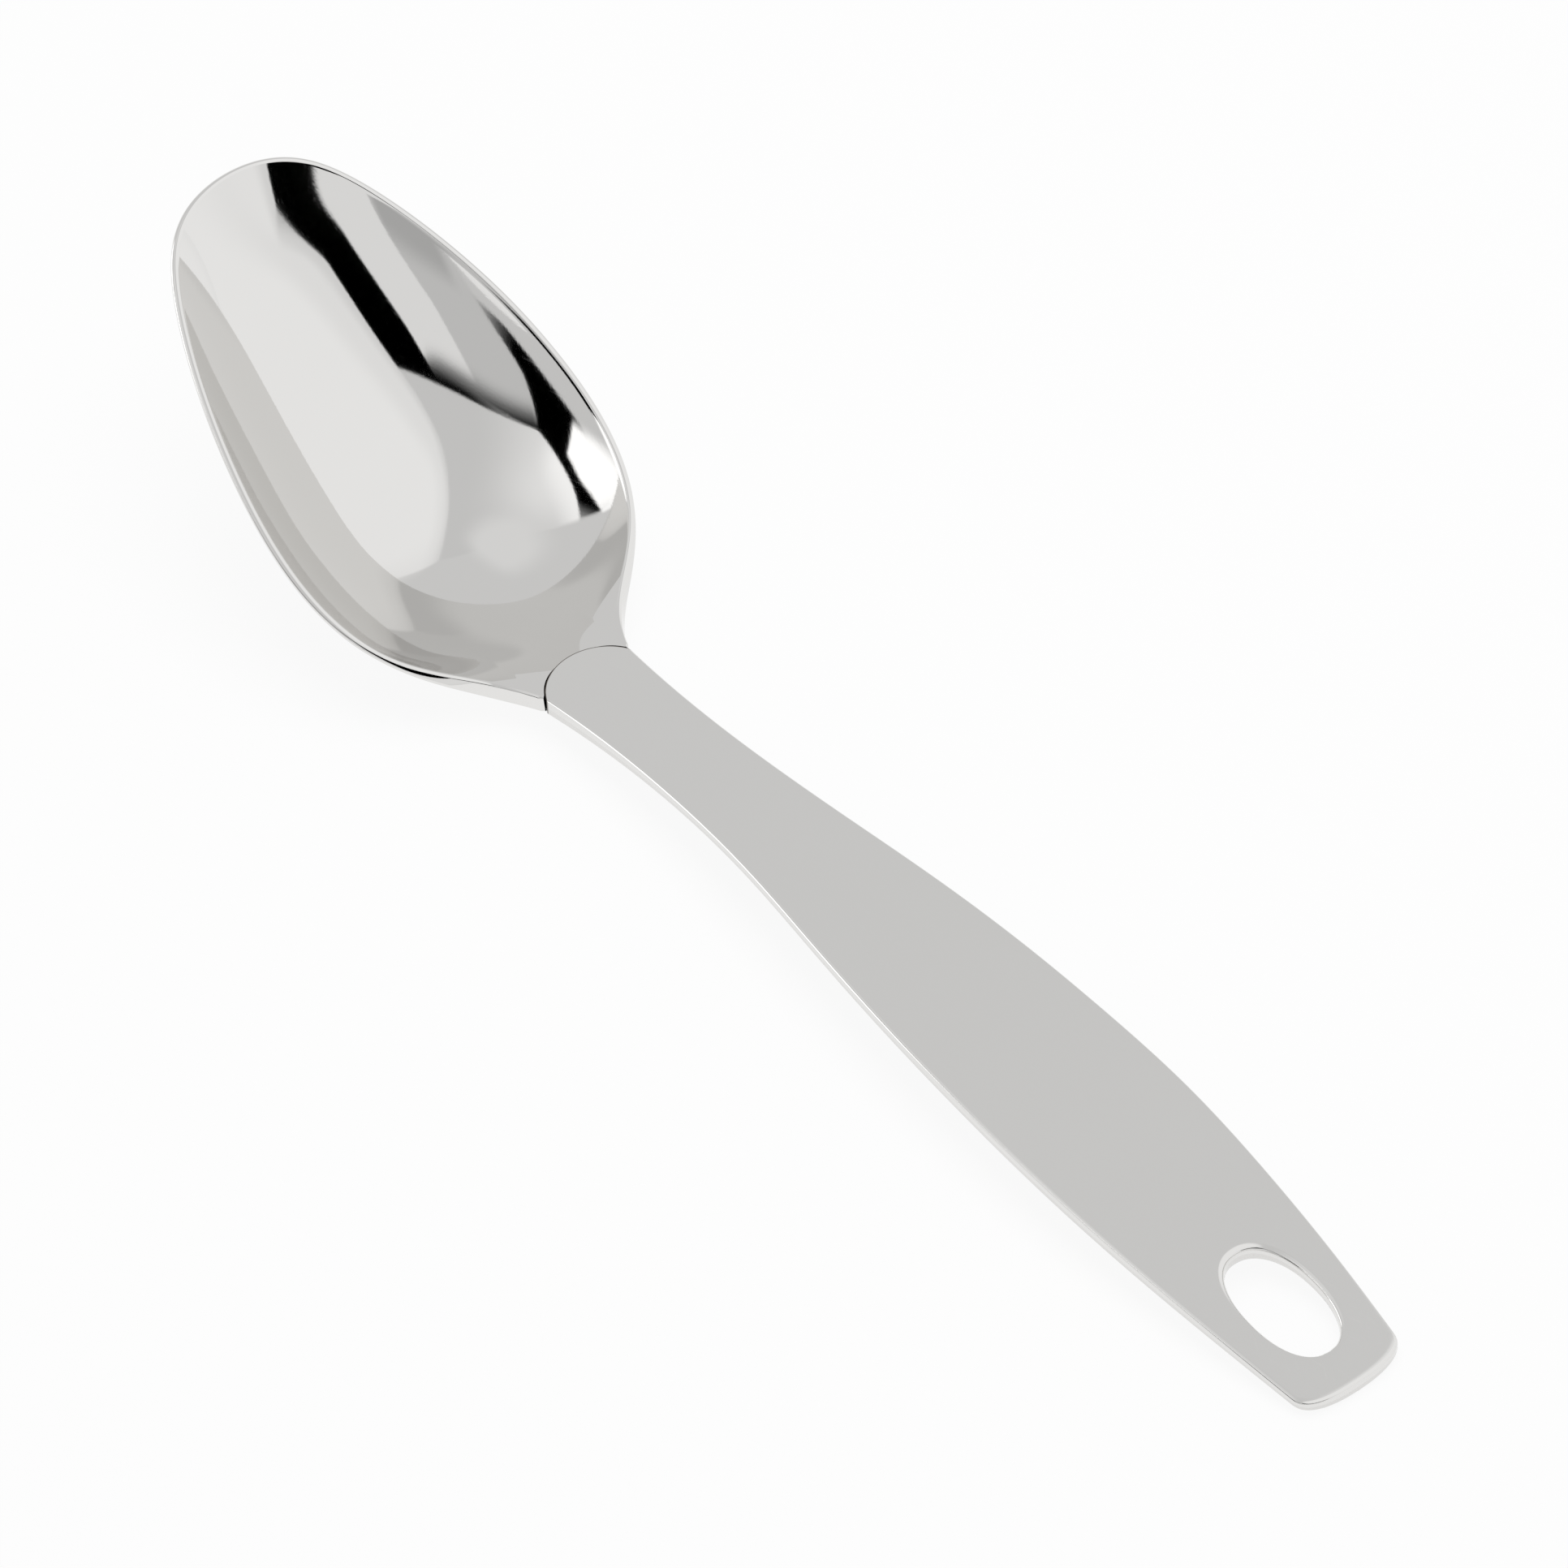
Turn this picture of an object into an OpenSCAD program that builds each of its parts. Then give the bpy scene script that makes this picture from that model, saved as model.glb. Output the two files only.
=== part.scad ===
// Serving spoon with a hollow handle, polished all over.
// The bowl is one stamping whose tang sits inside the mouth of the handle.
// The handle is two thin pressed shells that meet along their edges
// and inside the hanging hole.
// X runs along the spoon towards the tip, Z is up.
// The spoon lies on its bowl and on the end of its handle, as on a table.

/* [Handle] */
// Length of the handle, from its end to the crown of its mouth
handle_len = 173.3; // [150:1:200]
// Width of the handle at its widest place
handle_w = 27; // [24:0.5:32]
// Height of the handle's arch above the table
arch_h = 11; // [9:0.5:16]
// Thickness of the handle along its edges
edge_t = 2; // [1.8:0.1:3]
// Bulge of the underside below the edges
belly_h = 2; // [1:0.1:4]
// Bulge of the top face above its edges
crown_h = 0.3; // [0.1:0.1:1]
// Sheet thickness of the two shells
shell_t = 0.7; // [0.5:0.05:0.8]
// Radius along the outer edges of the handle
edge_r = 0.5; // [0.3:0.05:0.7]

/* [Handle end] */
// Length of the rounded corners at the end
end_len = 3.5; // [2:0.5:8]
// Squareness of the rounded corners
end_square = 4; // [2:0.1:6]
// How far the end bows out between its corners
end_bow = 0.9; // [0:0.1:3]

/* [Hanging hole] */
// Length of the hole
hole_len = 19.6; // [14:0.2:24]
// Width of the hole
hole_w = 11.2; // [8:0.2:13]
// Distance of the hole's centre from the end of the handle
hole_x = 16.2; // [16:0.2:24]
// Squareness of the hole
hole_square = 2.2; // [2:0.1:3]
// Radius where the faces turn into the hole
hole_lip_r = 0.85; // [0.4:0.05:0.9]

/* [Neck joint] */
// Depth of the rounded mouth of the handle
mouth_depth = 4.9; // [2:0.1:6]
// Length of the tang inside the handle
tang_len = 26; // [12:1:40]
// Gap all round the tang and at the joint line
tang_gap = 0.1; // [0.1:0.05:0.2]

/* [Bowl] */
// Length of the bowl in plan, from the mouth's corners to the tip
bowl_len = 81; // [70:1:95]
// Width of the bowl over its rim
bowl_w = 53; // [46:1:62]
// Height of the tip above the line of the handle
tip_rise = 47; // [36:1:52]
// Depth of the bowl below its rim
bowl_depth = 20.8; // [14:0.5:24]
// Flatness of the bottom of the bowl across its width
bowl_flat = 0.25; // [0:0.05:0.5]
// Sheet thickness of the bowl
bowl_t = 1.2; // [0.8:0.1:2]

// Distance over which the thick neck thins to the bowl
neck_taper = 20; // [12:1:30]

/* [Hidden] */

// Half width of the handle at even steps from its end to its mouth
width_shares = [0.645, 0.82, 0.945, 1.015, 0.985, 0.92, 0.795, 0.625, 0.53, 0.51, 0.6];
// Height of the handle's top edge at the same steps
arch_shares = [0.185, 0.44, 0.625, 0.81, 0.885, 0.955, 0.99, 0.995, 0.9, 0.775, 0.635];
// Thickness of the handle's edge at the same steps
edge_shares = [0.75, 0.9, 1, 1.05, 1, 0.95, 0.9, 0.85, 0.9, 1.2, 1.6];
// Bulge of the underside at the same steps
belly_shares = [0.2, 0.25, 0.5, 0.8, 1, 1, 0.9, 0.75, 0.55, 0.4, 0.3];

// Rim of the bowl in plan, from beside the mouth to the tip: along and across
rim_shares = [
    [0.05, 0.345], [0.12, 0.5], [0.21, 0.87], [0.35, 1.025], [0.5, 1.02],
    [0.66, 0.92], [0.82, 0.745], [0.957, 0.505], [1.001, 0.18]
];
// Rise of the rim at even steps from the neck to the tip
rise_shares = [0, 0, 0.1, 0.205, 0.315, 0.43, 0.55, 0.66, 0.77, 0.88, 1];
// Depth of the bowl at the same steps
depth_shares = [0, 0.04, 0.38, 0.66, 0.88, 1.01, 1.02, 0.93, 0.75, 0.48, 0];

// How much narrower the tang's end is than its root
tang_narrow_share = 0.2;
// How much of the tang's sides is rounded
tang_round_share = 0.75;
// How far before the tip its direction is taken, in steps of the rim's curve
tip_back = 0.02;

// Steps of each rounded edge
round_steps = 3;
// Steps along the bowl and its tang, and across them
bowl_stations = 34;
tang_stations = 4;
cross_stations = 16;
// Rows of the handle from its hole to its mouth, and steps across it
handle_rows = 22;
handle_cross = 10;
// Steps along each side of the hole, round the end, and from the hole to the edge
side_stations = 6;
end_stations = 14;
hole_rings = 3;

half_w = handle_w / 2;
mouth_x = handle_len - mouth_depth;
// The hole has the same length of handle on either side of it
hole_zone = 2 * hole_x;

// Value of a smooth curve through a table at a place counted in table steps
function curve_at(table, place) =
    let (
        last = len(table) - 1,
        i = min(max(floor(place), 0), last - 1),
        f = place - i,
        before = i > 0 ? table[i - 1] : 2 * table[0] - table[1],
        after = i + 2 > last ? 2 * table[last] - table[last - 1] : table[i + 2]
    )
    place > last ? table[last] + (table[last] - table[last - 1]) * (place - last)
    : (before * pow(1 - f, 3)
        + table[i] * (3 * pow(f, 3) - 6 * pow(f, 2) + 4)
        + table[i + 1] * (-3 * pow(f, 3) + 3 * pow(f, 2) + 3 * f + 1)
        + after * pow(f, 3)) / 6;

// Value of a table that runs evenly over a length
function along(table, x, length) = curve_at(table, x / length * (len(table) - 1));

// Smooth step from 0 to 1
function ease(s) = let (c = min(max(s, 0), 1)) c * c * (3 - 2 * c);

// Short step along a curve, for taking its direction
tiny = 0.001;
function mix(a, b, s) = a + (b - a) * s;
function unit(v) = v / norm(v);

// Handle: half width, top edge, edge thickness, middle of the edge
function handle_half(x) = half_w * along(width_shares, x, handle_len);
function top_edge(x) = arch_h * along(arch_shares, x, handle_len);
function edge_thick(x) = edge_t * along(edge_shares, x, handle_len);
function seam_z(x) = top_edge(x) - edge_thick(x) / 2;
function belly(x) = belly_h * along(belly_shares, x, handle_len);

// Height of the upper face (side 1) or the lower face (side -1)
function face_z(side, x, y) =
    let (
        across = 1 - pow(y / handle_half(x), 2),
        bulge = side > 0 ? crown_h : belly(x)
    )
    seam_z(x) + side * (edge_thick(x) / 2 + bulge * across);

// The mouth of the handle and the shoulder of the bowl follow one arc
mouth_half = handle_half(mouth_x);
mouth_r = (pow(mouth_half, 2) + pow(mouth_depth, 2)) / (2 * mouth_depth);
function mouth_arc(y) =
    let (inside = min(abs(y), mouth_half))
    sqrt(pow(mouth_r, 2) - pow(inside, 2)) - (mouth_r - mouth_depth);

// Outline of the handle on its left side, from the mouth to the end
row_step = (mouth_x - hole_zone) / handle_rows;
end_reach = end_len + end_bow;
side_step = (hole_zone - end_reach) / side_stations;
function end_point(a) =
    let (
        across = sign(a) * pow(abs(sin(a)), 2 / end_square),
        x = end_len * (1 - pow(abs(cos(a)), 2 / end_square)) + end_bow * across * across
    )
    [x, handle_half(x) * across];
left_side = [
    for (j = [handle_rows:-1:0]) let (x = hole_zone + j * row_step) [x, handle_half(x)],
    for (j = [side_stations - 1:-1:1]) let (x = end_reach + j * side_step) [x, handle_half(x)]
];
end_curve = [for (j = [0:end_stations]) end_point(90 - 180 * j / end_stations)];
right_side = [for (j = [len(left_side) - 1:-1:0]) [left_side[j][0], -left_side[j][1]]];
outline = concat(left_side, end_curve, right_side);
edge_count = len(outline);

// Outward direction of the outline at one of its points
function outward(i) =
    let (
        a = outline[max(i - 1, 0)],
        b = outline[min(i + 1, edge_count - 1)],
        t = unit(b - a)
    )
    [t[1], -t[0]];
function inset(i, by) = outline[i] - outward(i) * by;

// The part of the outline that goes round the hole, and the line that closes it
loop_side = edge_count - 2 * handle_rows;
loop_count = loop_side + handle_cross - 1;

// Points of the straight cross line at a row, from right to left
function row_point(row, j, by) =
    mix(inset(edge_count - 1 - handle_rows + row, by), inset(handle_rows - row, by),
        j / handle_cross);
function loop_point(i, by) =
    i < loop_side ? inset(handle_rows + i, by)
    : row_point(0, i - loop_side + 1, by);

// Edge of the hole, widened, in the direction of one point of the loop
function hole_point(i, by) =
    let (
        to = loop_point(i, shell_t),
        a = atan2(to[1] / hole_w, (to[0] - hole_x) / hole_len),
        power = 2 / hole_square
    )
    [
        hole_x + (hole_len / 2 + by) * sign(cos(a)) * pow(abs(cos(a)), power),
        (hole_w / 2 + by) * sign(sin(a)) * pow(abs(sin(a)), power)
    ];

// Bends the rows near the mouth to its arc
function bent(p) =
    [p[0] + mouth_arc(p[1]) * ease((p[0] - mouth_x + tang_len) / tang_len), p[1]];
function on_face(p, side, drop) =
    let (q = bent(p)) [q[0], q[1], face_z(side, q[0], q[1]) - side * drop];
function on_seam(p) = let (q = bent(p)) [q[0], q[1], seam_z(q[0])];

// One skin of a shell: rings round the hole, then rows to the mouth
function skin(side, by, hole_by, drop) = [
    for (k = [0:hole_rings]) for (i = [0:loop_count - 1])
        on_face(mix(hole_point(i, hole_by), loop_point(i, by), k / hole_rings), side, drop),
    for (row = [1:handle_rows]) for (j = [0:handle_cross])
        on_face(row_point(row, j, by), side, drop)
];
skin_count = (hole_rings + 1) * loop_count + handle_rows * (handle_cross + 1);

// Places of skin points in the list
function ring_id(k, i) = k * loop_count + i % loop_count;
function row_id(row, j) =
    row > 0 ? (hole_rings + 1) * loop_count + (row - 1) * (handle_cross + 1) + j
    : ring_id(hole_rings, j == handle_cross ? 0 : loop_side - 1 + j);
function edge_id(i) =
    i < handle_rows ? row_id(handle_rows - i, handle_cross)
    : i < handle_rows + loop_side ? ring_id(hole_rings, i - handle_rows)
    : row_id(i - handle_rows - loop_side + 1, 0);

// Rounded edge, then the wall down to the seam and back along the inside
function turn(k) = 90 * k / round_steps;
wall_count = round_steps + 2;
function side_wall(side, i) =
    let (p = inset(i, edge_r), n = outward(i))
    [
        for (k = [1:round_steps])
            let (
                q = bent(p + n * edge_r * sin(turn(k))),
                top = on_face(p, side, edge_r * (1 - cos(turn(k))))
            )
            [q[0], q[1], top[2]],
        on_seam(p + n * edge_r),
        on_seam(inset(i, shell_t))
    ];
function hole_wall(side, i) = [
    for (k = [1:round_steps])
        let (
            q = hole_point(i, hole_lip_r * (1 - sin(turn(k)))),
            top = on_face(hole_point(i, hole_lip_r), side, hole_lip_r * (1 - cos(turn(k))))
        )
        [q[0], q[1], top[2]],
    on_seam(hole_point(i, 0)),
    on_seam(hole_point(i, shell_t))
];

// Two triangles across four points
function quad(a, b, c, d) = [[a, b, c], [a, c, d]];
// Drops triangles that have a point twice
function sound(faces) = [for (f = faces) if (f[0] != f[1] && f[1] != f[2] && f[0] != f[2]) f];

function skin_faces() = [
    for (k = [0:hole_rings - 1]) for (i = [0:loop_count - 1])
        each quad(ring_id(k, i), ring_id(k, i + 1), ring_id(k + 1, i + 1), ring_id(k + 1, i)),
    for (row = [0:handle_rows - 1]) for (j = [0:handle_cross - 1])
        each quad(row_id(row, j), row_id(row, j + 1), row_id(row + 1, j + 1), row_id(row + 1, j))
];

// Points of a shell: its outer skin, its inner skin, then the walls between
function shell_points(side) = concat(
    skin(side, edge_r, hole_lip_r, 0),
    skin(side, shell_t, shell_t, shell_t),
    [for (i = [0:edge_count - 1]) each side_wall(side, i)],
    [for (i = [0:loop_count - 1]) each hole_wall(side, i)]
);

// A pressed shell of the handle, the upper one (side 1) or the lower one (side -1)
module pressed_shell(side) {
    walls = 2 * skin_count;
    holes = walls + edge_count * wall_count;
    // Chain of points from the outer skin round the wall to the inner skin
    function side_chain(i, k) =
        k == 0 ? edge_id(i) : k > wall_count ? skin_count + edge_id(i) : walls + i * wall_count + k - 1;
    function hole_chain(i, k) =
        let (j = i % loop_count)
        k == 0 ? j : k > wall_count ? skin_count + j : holes + j * wall_count + k - 1;
    last = edge_count - 1;
    faces = concat(
        skin_faces(),
        [for (f = skin_faces()) [f[2] + skin_count, f[1] + skin_count, f[0] + skin_count]],
        [for (i = [0:last - 1]) for (k = [0:wall_count])
            each quad(side_chain(i, k), side_chain(i + 1, k),
                side_chain(i + 1, k + 1), side_chain(i, k + 1))],
        [for (i = [0:loop_count - 1]) for (k = [0:wall_count])
            each quad(hole_chain(i, k + 1), hole_chain(i + 1, k + 1),
                hole_chain(i + 1, k), hole_chain(i, k))],
        [for (j = [0:handle_cross - 1])
            each quad(row_id(handle_rows, j), row_id(handle_rows, j + 1),
                skin_count + row_id(handle_rows, j + 1), skin_count + row_id(handle_rows, j))],
        [for (k = [0:wall_count - 1])
            [side_chain(0, wall_count + 1), side_chain(0, k), side_chain(0, k + 1)]],
        [for (k = [0:wall_count - 1])
            [side_chain(last, wall_count + 1), side_chain(last, k + 1), side_chain(last, k)]]
    );
    polyhedron(shell_points(side), side > 0 ? faces : [for (f = faces) [f[2], f[1], f[0]]]);
}

// Rim of the bowl with its far side mirrored in, so that the tip comes out round
rim_plan = concat(
    [[mouth_x, mouth_half]],
    [for (s = rim_shares) [mouth_x + s[0] * bowl_len, s[1] * bowl_w / 2]]
);
rim_last = len(rim_plan) - 1;
rim_curve = concat(rim_plan, [for (i = [rim_last, rim_last - 1]) [rim_plan[i][0], -rim_plan[i][1]]]);
tip_place = rim_last + 1 / 2;

// Top of the bowl and neck: the handle's top face run on, raised at the rim and dished
function dish_z(x, v) =
    let (
        s = (x - mouth_x) / dish_len,
        deep = curve_at(depth_shares, s * (len(depth_shares) - 1)),
        rise = curve_at(rise_shares, s * (len(rise_shares) - 1)),
        fullness = 1 + bowl_flat * max(deep, 0) * v * v
    )
    top_edge(x) + crown_h * (1 - v * v) * (1 - ease((x - mouth_x) / neck_taper))
        + tip_rise * rise - bowl_depth * deep * (1 - v * v) * fullness;
// Line where the top face ends and its rounded edge begins
function rim_point(place) =
    let (run = unit(curve_at(rim_curve, place + tiny) - curve_at(rim_curve, place - tiny)))
    curve_at(rim_curve, place) + edge_r * [run[1], -run[0]];
dish_len = rim_point(tip_place)[0] - mouth_x + tang_gap;
function dish_point(place, v) =
    let (
        rim = rim_point(place),
        near = 1 - ease((rim[0] - mouth_x) / neck_taper),
        y = v * rim[1],
        x = rim[0] + mouth_arc(y) * near + tang_gap
    )
    [x, y, dish_z(x, v)];
// Thickness: that of the handle at the joint, one sheet in the bowl
function dish_thick(p, v) =
    let (
        full = edge_thick(p[0]) + (crown_h + belly(p[0])) * (1 - v * v),
        s = ease((p[0] - mouth_x - mouth_arc(p[1])) / neck_taper)
    )
    mix(full, bowl_t, s);

// Frame of the surface at a point: up from it, and out across its edge
function frame_at(place, v) =
    let (
        run = dish_point(place + tiny, v) - dish_point(place - tiny, v),
        over = dish_point(place, v + tiny) - dish_point(place, v - tiny),
        out = over - unit(run) * (over * unit(run))
    )
    [unit(cross(run, over)), unit(out) * sign(v)];

// Rounded edge from the top of the sheet to its underside
function rolled_edge(p, up, out, thick) = [
    for (k = [1:round_steps])
        p + (out * sin(turn(k)) - up * (1 - cos(turn(k)))) * edge_r,
    for (k = [round_steps:-1:1])
        p + (out * sin(turn(k)) + up * (1 - cos(turn(k)))) * edge_r - up * thick
];
function reversed(list) = [for (i = [len(list) - 1:-1:0]) list[i]];

// Closed ring round the bowl at one place along its rim
function dish_ring(place) =
    let (
        shares = [for (j = [0:cross_stations]) 2 * j / cross_stations - 1],
        top = [for (v = shares) dish_point(place, v)],
        low = [for (j = [0:cross_stations])
            top[j] - frame_at(place, shares[j])[0] * dish_thick(top[j], shares[j])],
        left = frame_at(place, 1),
        right = frame_at(place, -1),
        left_p = top[cross_stations],
        right_p = top[0]
    )
    concat(
        top, rolled_edge(left_p, left[0], left[1], dish_thick(left_p, 1)),
        reversed(low), reversed(rolled_edge(right_p, right[0], right[1], dish_thick(right_p, -1)))
    );

// Closed ring round the tang, which fills the handle between its shells
tang_cover = shell_t + tang_gap;
function tang_ring(s) =
    let (
        start = mouth_x - tang_len * s,
        half = (mouth_half - tang_cover) * (1 - tang_narrow_share * s) - edge_r,
        place = function (v) let (y = v * half)
            [start + (mouth_arc(y) + tang_gap) * (1 - s), y],
        top = [for (j = [0:cross_stations]) let (q = place(2 * j / cross_stations - 1))
            [q[0], q[1], face_z(1, q[0], q[1]) - tang_cover]],
        low = [for (p = top) [p[0], p[1], face_z(-1, p[0], p[1]) + tang_cover]],
        thick = top[0][2] - low[0][2]
    )
    concat(
        top, tang_edge(top[cross_stations], 1, thick),
        reversed(low), reversed(tang_edge(top[0], -1, thick))
    );
function tang_edge(p, side, thick) = [
    for (k = [1:round_steps])
        p + [0, side * edge_r * sin(turn(k)), -thick / 2 * (1 - cos(turn(k))) * tang_round_share],
    for (k = [round_steps:-1:1])
        p + [0, side * edge_r * sin(turn(k)), thick / 2 * (1 - cos(turn(k))) * tang_round_share - thick]
];

// Upright chain of points that closes the bowl at its tip
before_tip = tip_place - tip_back;
tip = dish_point(tip_place, 0);
tip_up = frame_at(before_tip, 0)[0];
tip_out = unit(dish_point(before_tip, 0) - dish_point(before_tip - tiny, 0));
tip_thick = dish_thick(tip, 0);
tip_chain = concat([tip], rolled_edge(tip, tip_up, tip_out, tip_thick), [tip - tip_up * tip_thick]);

bowl_rings = concat(
    [for (k = [tang_stations:-1:0]) tang_ring(k / tang_stations)],
    [for (k = [0:bowl_stations - 1]) dish_ring(tip_place * k / bowl_stations)]
);
bowl_points = concat([for (ring = bowl_rings) each ring], tip_chain);

module bowl_solid() {
    edge_len = 2 * round_steps;
    ring_len = len(bowl_rings[0]);
    ring_total = len(bowl_rings);
    low_left = cross_stations + edge_len + 1;
    low_right = low_left + cross_stations;
    // Where point k of a ring lies in the tip's chain
    function tip_id(k) =
        k <= cross_stations ? 0
        : k < low_left ? k - cross_stations
        : k <= low_right ? edge_len + 1
        : ring_len - k;
    function ring_at(i, k) =
        let (j = k % ring_len)
        i < ring_total ? i * ring_len + j : ring_total * ring_len + tip_id(j);
    sides = [
        for (i = [0:ring_total - 1]) for (k = [0:ring_len - 1])
            each quad(ring_at(i, k), ring_at(i, k + 1), ring_at(i + 1, k + 1), ring_at(i + 1, k))
    ];
    tang_end = [
        for (j = [0:cross_stations - 1])
            each quad(low_right - j, low_right - j - 1, j + 1, j),
        for (k = [cross_stations + 1:low_left - 1]) [cross_stations, k + 1, k],
        for (k = [low_right:ring_len - 2]) [0, k + 1, k]
    ];
    polyhedron(bowl_points, sound(concat(sides, tang_end)));
}

// Stands the spoon on the table with the middle of its length over the origin
far_x = max([for (p = bowl_points) p[0]]);
lowest_z = min([for (p = concat(bowl_points, shell_points(-1))) p[2]]);
module placed() {
    translate([-far_x / 2, 0, -lowest_z]) children();
}

module bowl() {
    color([0.82, 0.82, 0.81]) placed() bowl_solid();
}
module handle_upper_shell() {
    color([0.76, 0.76, 0.75]) placed() pressed_shell(1);
}
module handle_lower_shell() {
    color([0.7, 0.7, 0.69]) placed() pressed_shell(-1);
}

bowl();
handle_upper_shell();
handle_lower_shell();
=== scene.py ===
"""Polished serving spoon: a deep bowl on a hollow handle of two pressed shells, with a hanging hole."""

import math

import bpy
import numpy as np
from mathutils import Matrix, Vector


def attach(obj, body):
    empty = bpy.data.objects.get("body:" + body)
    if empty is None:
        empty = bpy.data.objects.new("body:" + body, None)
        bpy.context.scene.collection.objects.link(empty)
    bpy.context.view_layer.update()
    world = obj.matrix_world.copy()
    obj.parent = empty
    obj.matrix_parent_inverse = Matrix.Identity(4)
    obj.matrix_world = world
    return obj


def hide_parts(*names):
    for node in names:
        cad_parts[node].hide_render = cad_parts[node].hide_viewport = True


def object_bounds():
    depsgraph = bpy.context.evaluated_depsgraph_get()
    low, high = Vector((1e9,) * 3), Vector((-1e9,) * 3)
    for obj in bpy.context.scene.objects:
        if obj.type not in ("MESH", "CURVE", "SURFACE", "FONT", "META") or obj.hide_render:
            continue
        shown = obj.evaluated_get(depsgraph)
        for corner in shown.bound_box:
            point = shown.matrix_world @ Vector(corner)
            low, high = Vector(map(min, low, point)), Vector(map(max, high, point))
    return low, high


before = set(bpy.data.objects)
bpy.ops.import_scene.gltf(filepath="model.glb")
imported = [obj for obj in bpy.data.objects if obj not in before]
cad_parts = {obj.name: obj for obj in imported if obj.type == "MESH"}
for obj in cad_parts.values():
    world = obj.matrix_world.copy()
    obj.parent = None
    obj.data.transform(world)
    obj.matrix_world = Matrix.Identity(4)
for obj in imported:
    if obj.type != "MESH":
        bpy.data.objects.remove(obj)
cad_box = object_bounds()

bl_info = {
    "name": "Serving spoon",
    "version": (1, 0, 0),
    "blender": (4, 5, 0),
    "location": "3D View > Sidebar > Spoon",
    "description": "Builds a polished serving spoon with a hollow handle over its packed solids",
    "category": "Add Mesh",
}

# Shapes as shares of the sizes below, at even steps along the handle from its end to its mouth
WIDTH_SHARES = (0.645, 0.82, 0.945, 1.015, 0.985, 0.92, 0.795, 0.625, 0.53, 0.51, 0.6)
ARCH_SHARES = (0.185, 0.44, 0.625, 0.81, 0.885, 0.955, 0.99, 0.995, 0.9, 0.775, 0.635)
EDGE_SHARES = (0.75, 0.9, 1, 1.05, 1, 0.95, 0.9, 0.85, 0.9, 1.2, 1.6)
BELLY_SHARES = (0.2, 0.25, 0.5, 0.8, 1, 1, 0.9, 0.75, 0.55, 0.4, 0.3)
# Rim of the bowl in plan, from beside the mouth to the tip: along and across
RIM_SHARES = (
    (0.05, 0.345), (0.12, 0.5), (0.21, 0.87), (0.35, 1.025), (0.5, 1.02),
    (0.66, 0.92), (0.82, 0.745), (0.957, 0.505), (1.001, 0.18),
)
# Rise of the rim and depth of the bowl at even steps from the neck to the tip
RISE_SHARES = (0, 0, 0.1, 0.205, 0.315, 0.43, 0.55, 0.66, 0.77, 0.88, 1)
DEPTH_SHARES = (0, 0.04, 0.38, 0.66, 0.88, 1.01, 1.02, 0.93, 0.75, 0.48, 0)

# Short step along a curve, for taking its direction
NUDGE = 0.001


def length(name, description, default):
    """A size in metres that the sidebar shows as a length."""
    return bpy.props.FloatProperty(
        name=name, description=description, default=default, min=0, unit="LENGTH", precision=5
    )


def share(name, description, default, top=1):
    """A plain number from zero up."""
    return bpy.props.FloatProperty(
        name=name, description=description, default=default, min=0, max=top, precision=3
    )


def angle(name, description, degrees):
    """An angle, stored in radians."""
    return bpy.props.FloatProperty(
        name=name, description=description, default=math.radians(degrees), unit="ROTATION"
    )


def colour(name, description, default):
    """A colour in linear light."""
    return bpy.props.FloatVectorProperty(
        name=name, description=description, default=default, size=3, min=0, max=1, subtype="COLOR"
    )


class SpoonHandleSizes(bpy.types.PropertyGroup):
    """Sizes of the hollow handle."""

    handle_length: length("Length", "From the end of the handle to the crown of its mouth", 0.1733)
    handle_width: length("Width", "Width of the handle at its widest place", 0.027)
    arch_height: length("Arch", "Height of the handle's arch above the table", 0.011)
    edge_thickness: length("Edge", "Thickness of the handle along its edges", 0.002)
    belly_bulge: length("Belly", "Bulge of the underside below the edges", 0.002)
    crown_bulge: length("Crown", "Bulge of the top face above its edges", 0.0003)
    shell_sheet: length("Shell sheet", "Sheet thickness of the two shells", 0.0007)
    edge_radius: length("Edge radius", "Radius along the outer edges", 0.0005)
    end_length: length("End corners", "Length of the rounded corners at the end", 0.0035)
    end_square: share("End squareness", "Squareness of the rounded corners", 4, 8)
    end_bow: length("End bow", "How far the end bows out between its corners", 0.0009)
    hole_length: length("Hole length", "Length of the hanging hole", 0.0196)
    hole_width: length("Hole width", "Width of the hanging hole", 0.0112)
    hole_place: length("Hole place", "From the end of the handle to the hole's centre", 0.0162)
    hole_square: share("Hole squareness", "Squareness of the hanging hole", 2.2, 8)
    lip_radius: length("Hole lip", "Radius where the faces turn into the hole", 0.00085)


class SpoonBowlSizes(bpy.types.PropertyGroup):
    """Sizes of the bowl, its neck and its tang."""

    mouth_depth: length("Mouth depth", "Depth of the handle's rounded mouth", 0.0049)
    joint_gap: length("Tang gap", "Gap round the tang and behind the joint line", 0.0001)
    joint_line: length("Joint line", "Width of the line where the handle meets the neck", 0.0002)
    tang_length: length("Tang", "Length of the tang inside the handle", 0.026)
    tang_narrow: share("Tang taper", "How much narrower the tang's end is than its root", 0.2)
    bowl_length: length("Length", "From the mouth's corners to the tip, in plan", 0.081)
    bowl_width: length("Width", "Width of the bowl over its rim", 0.053)
    tip_rise: length("Tip rise", "Height of the tip above the line of the handle", 0.047)
    bowl_depth: length("Depth", "Depth of the bowl below its rim", 0.0208)
    bowl_flat: share("Flatness", "Flatness of the bottom across its width", 0.25, 4)
    bowl_sheet: length("Sheet", "Sheet thickness of the bowl", 0.0012)
    neck_taper: length("Neck taper", "Distance over which the thick neck thins", 0.02)


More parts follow.
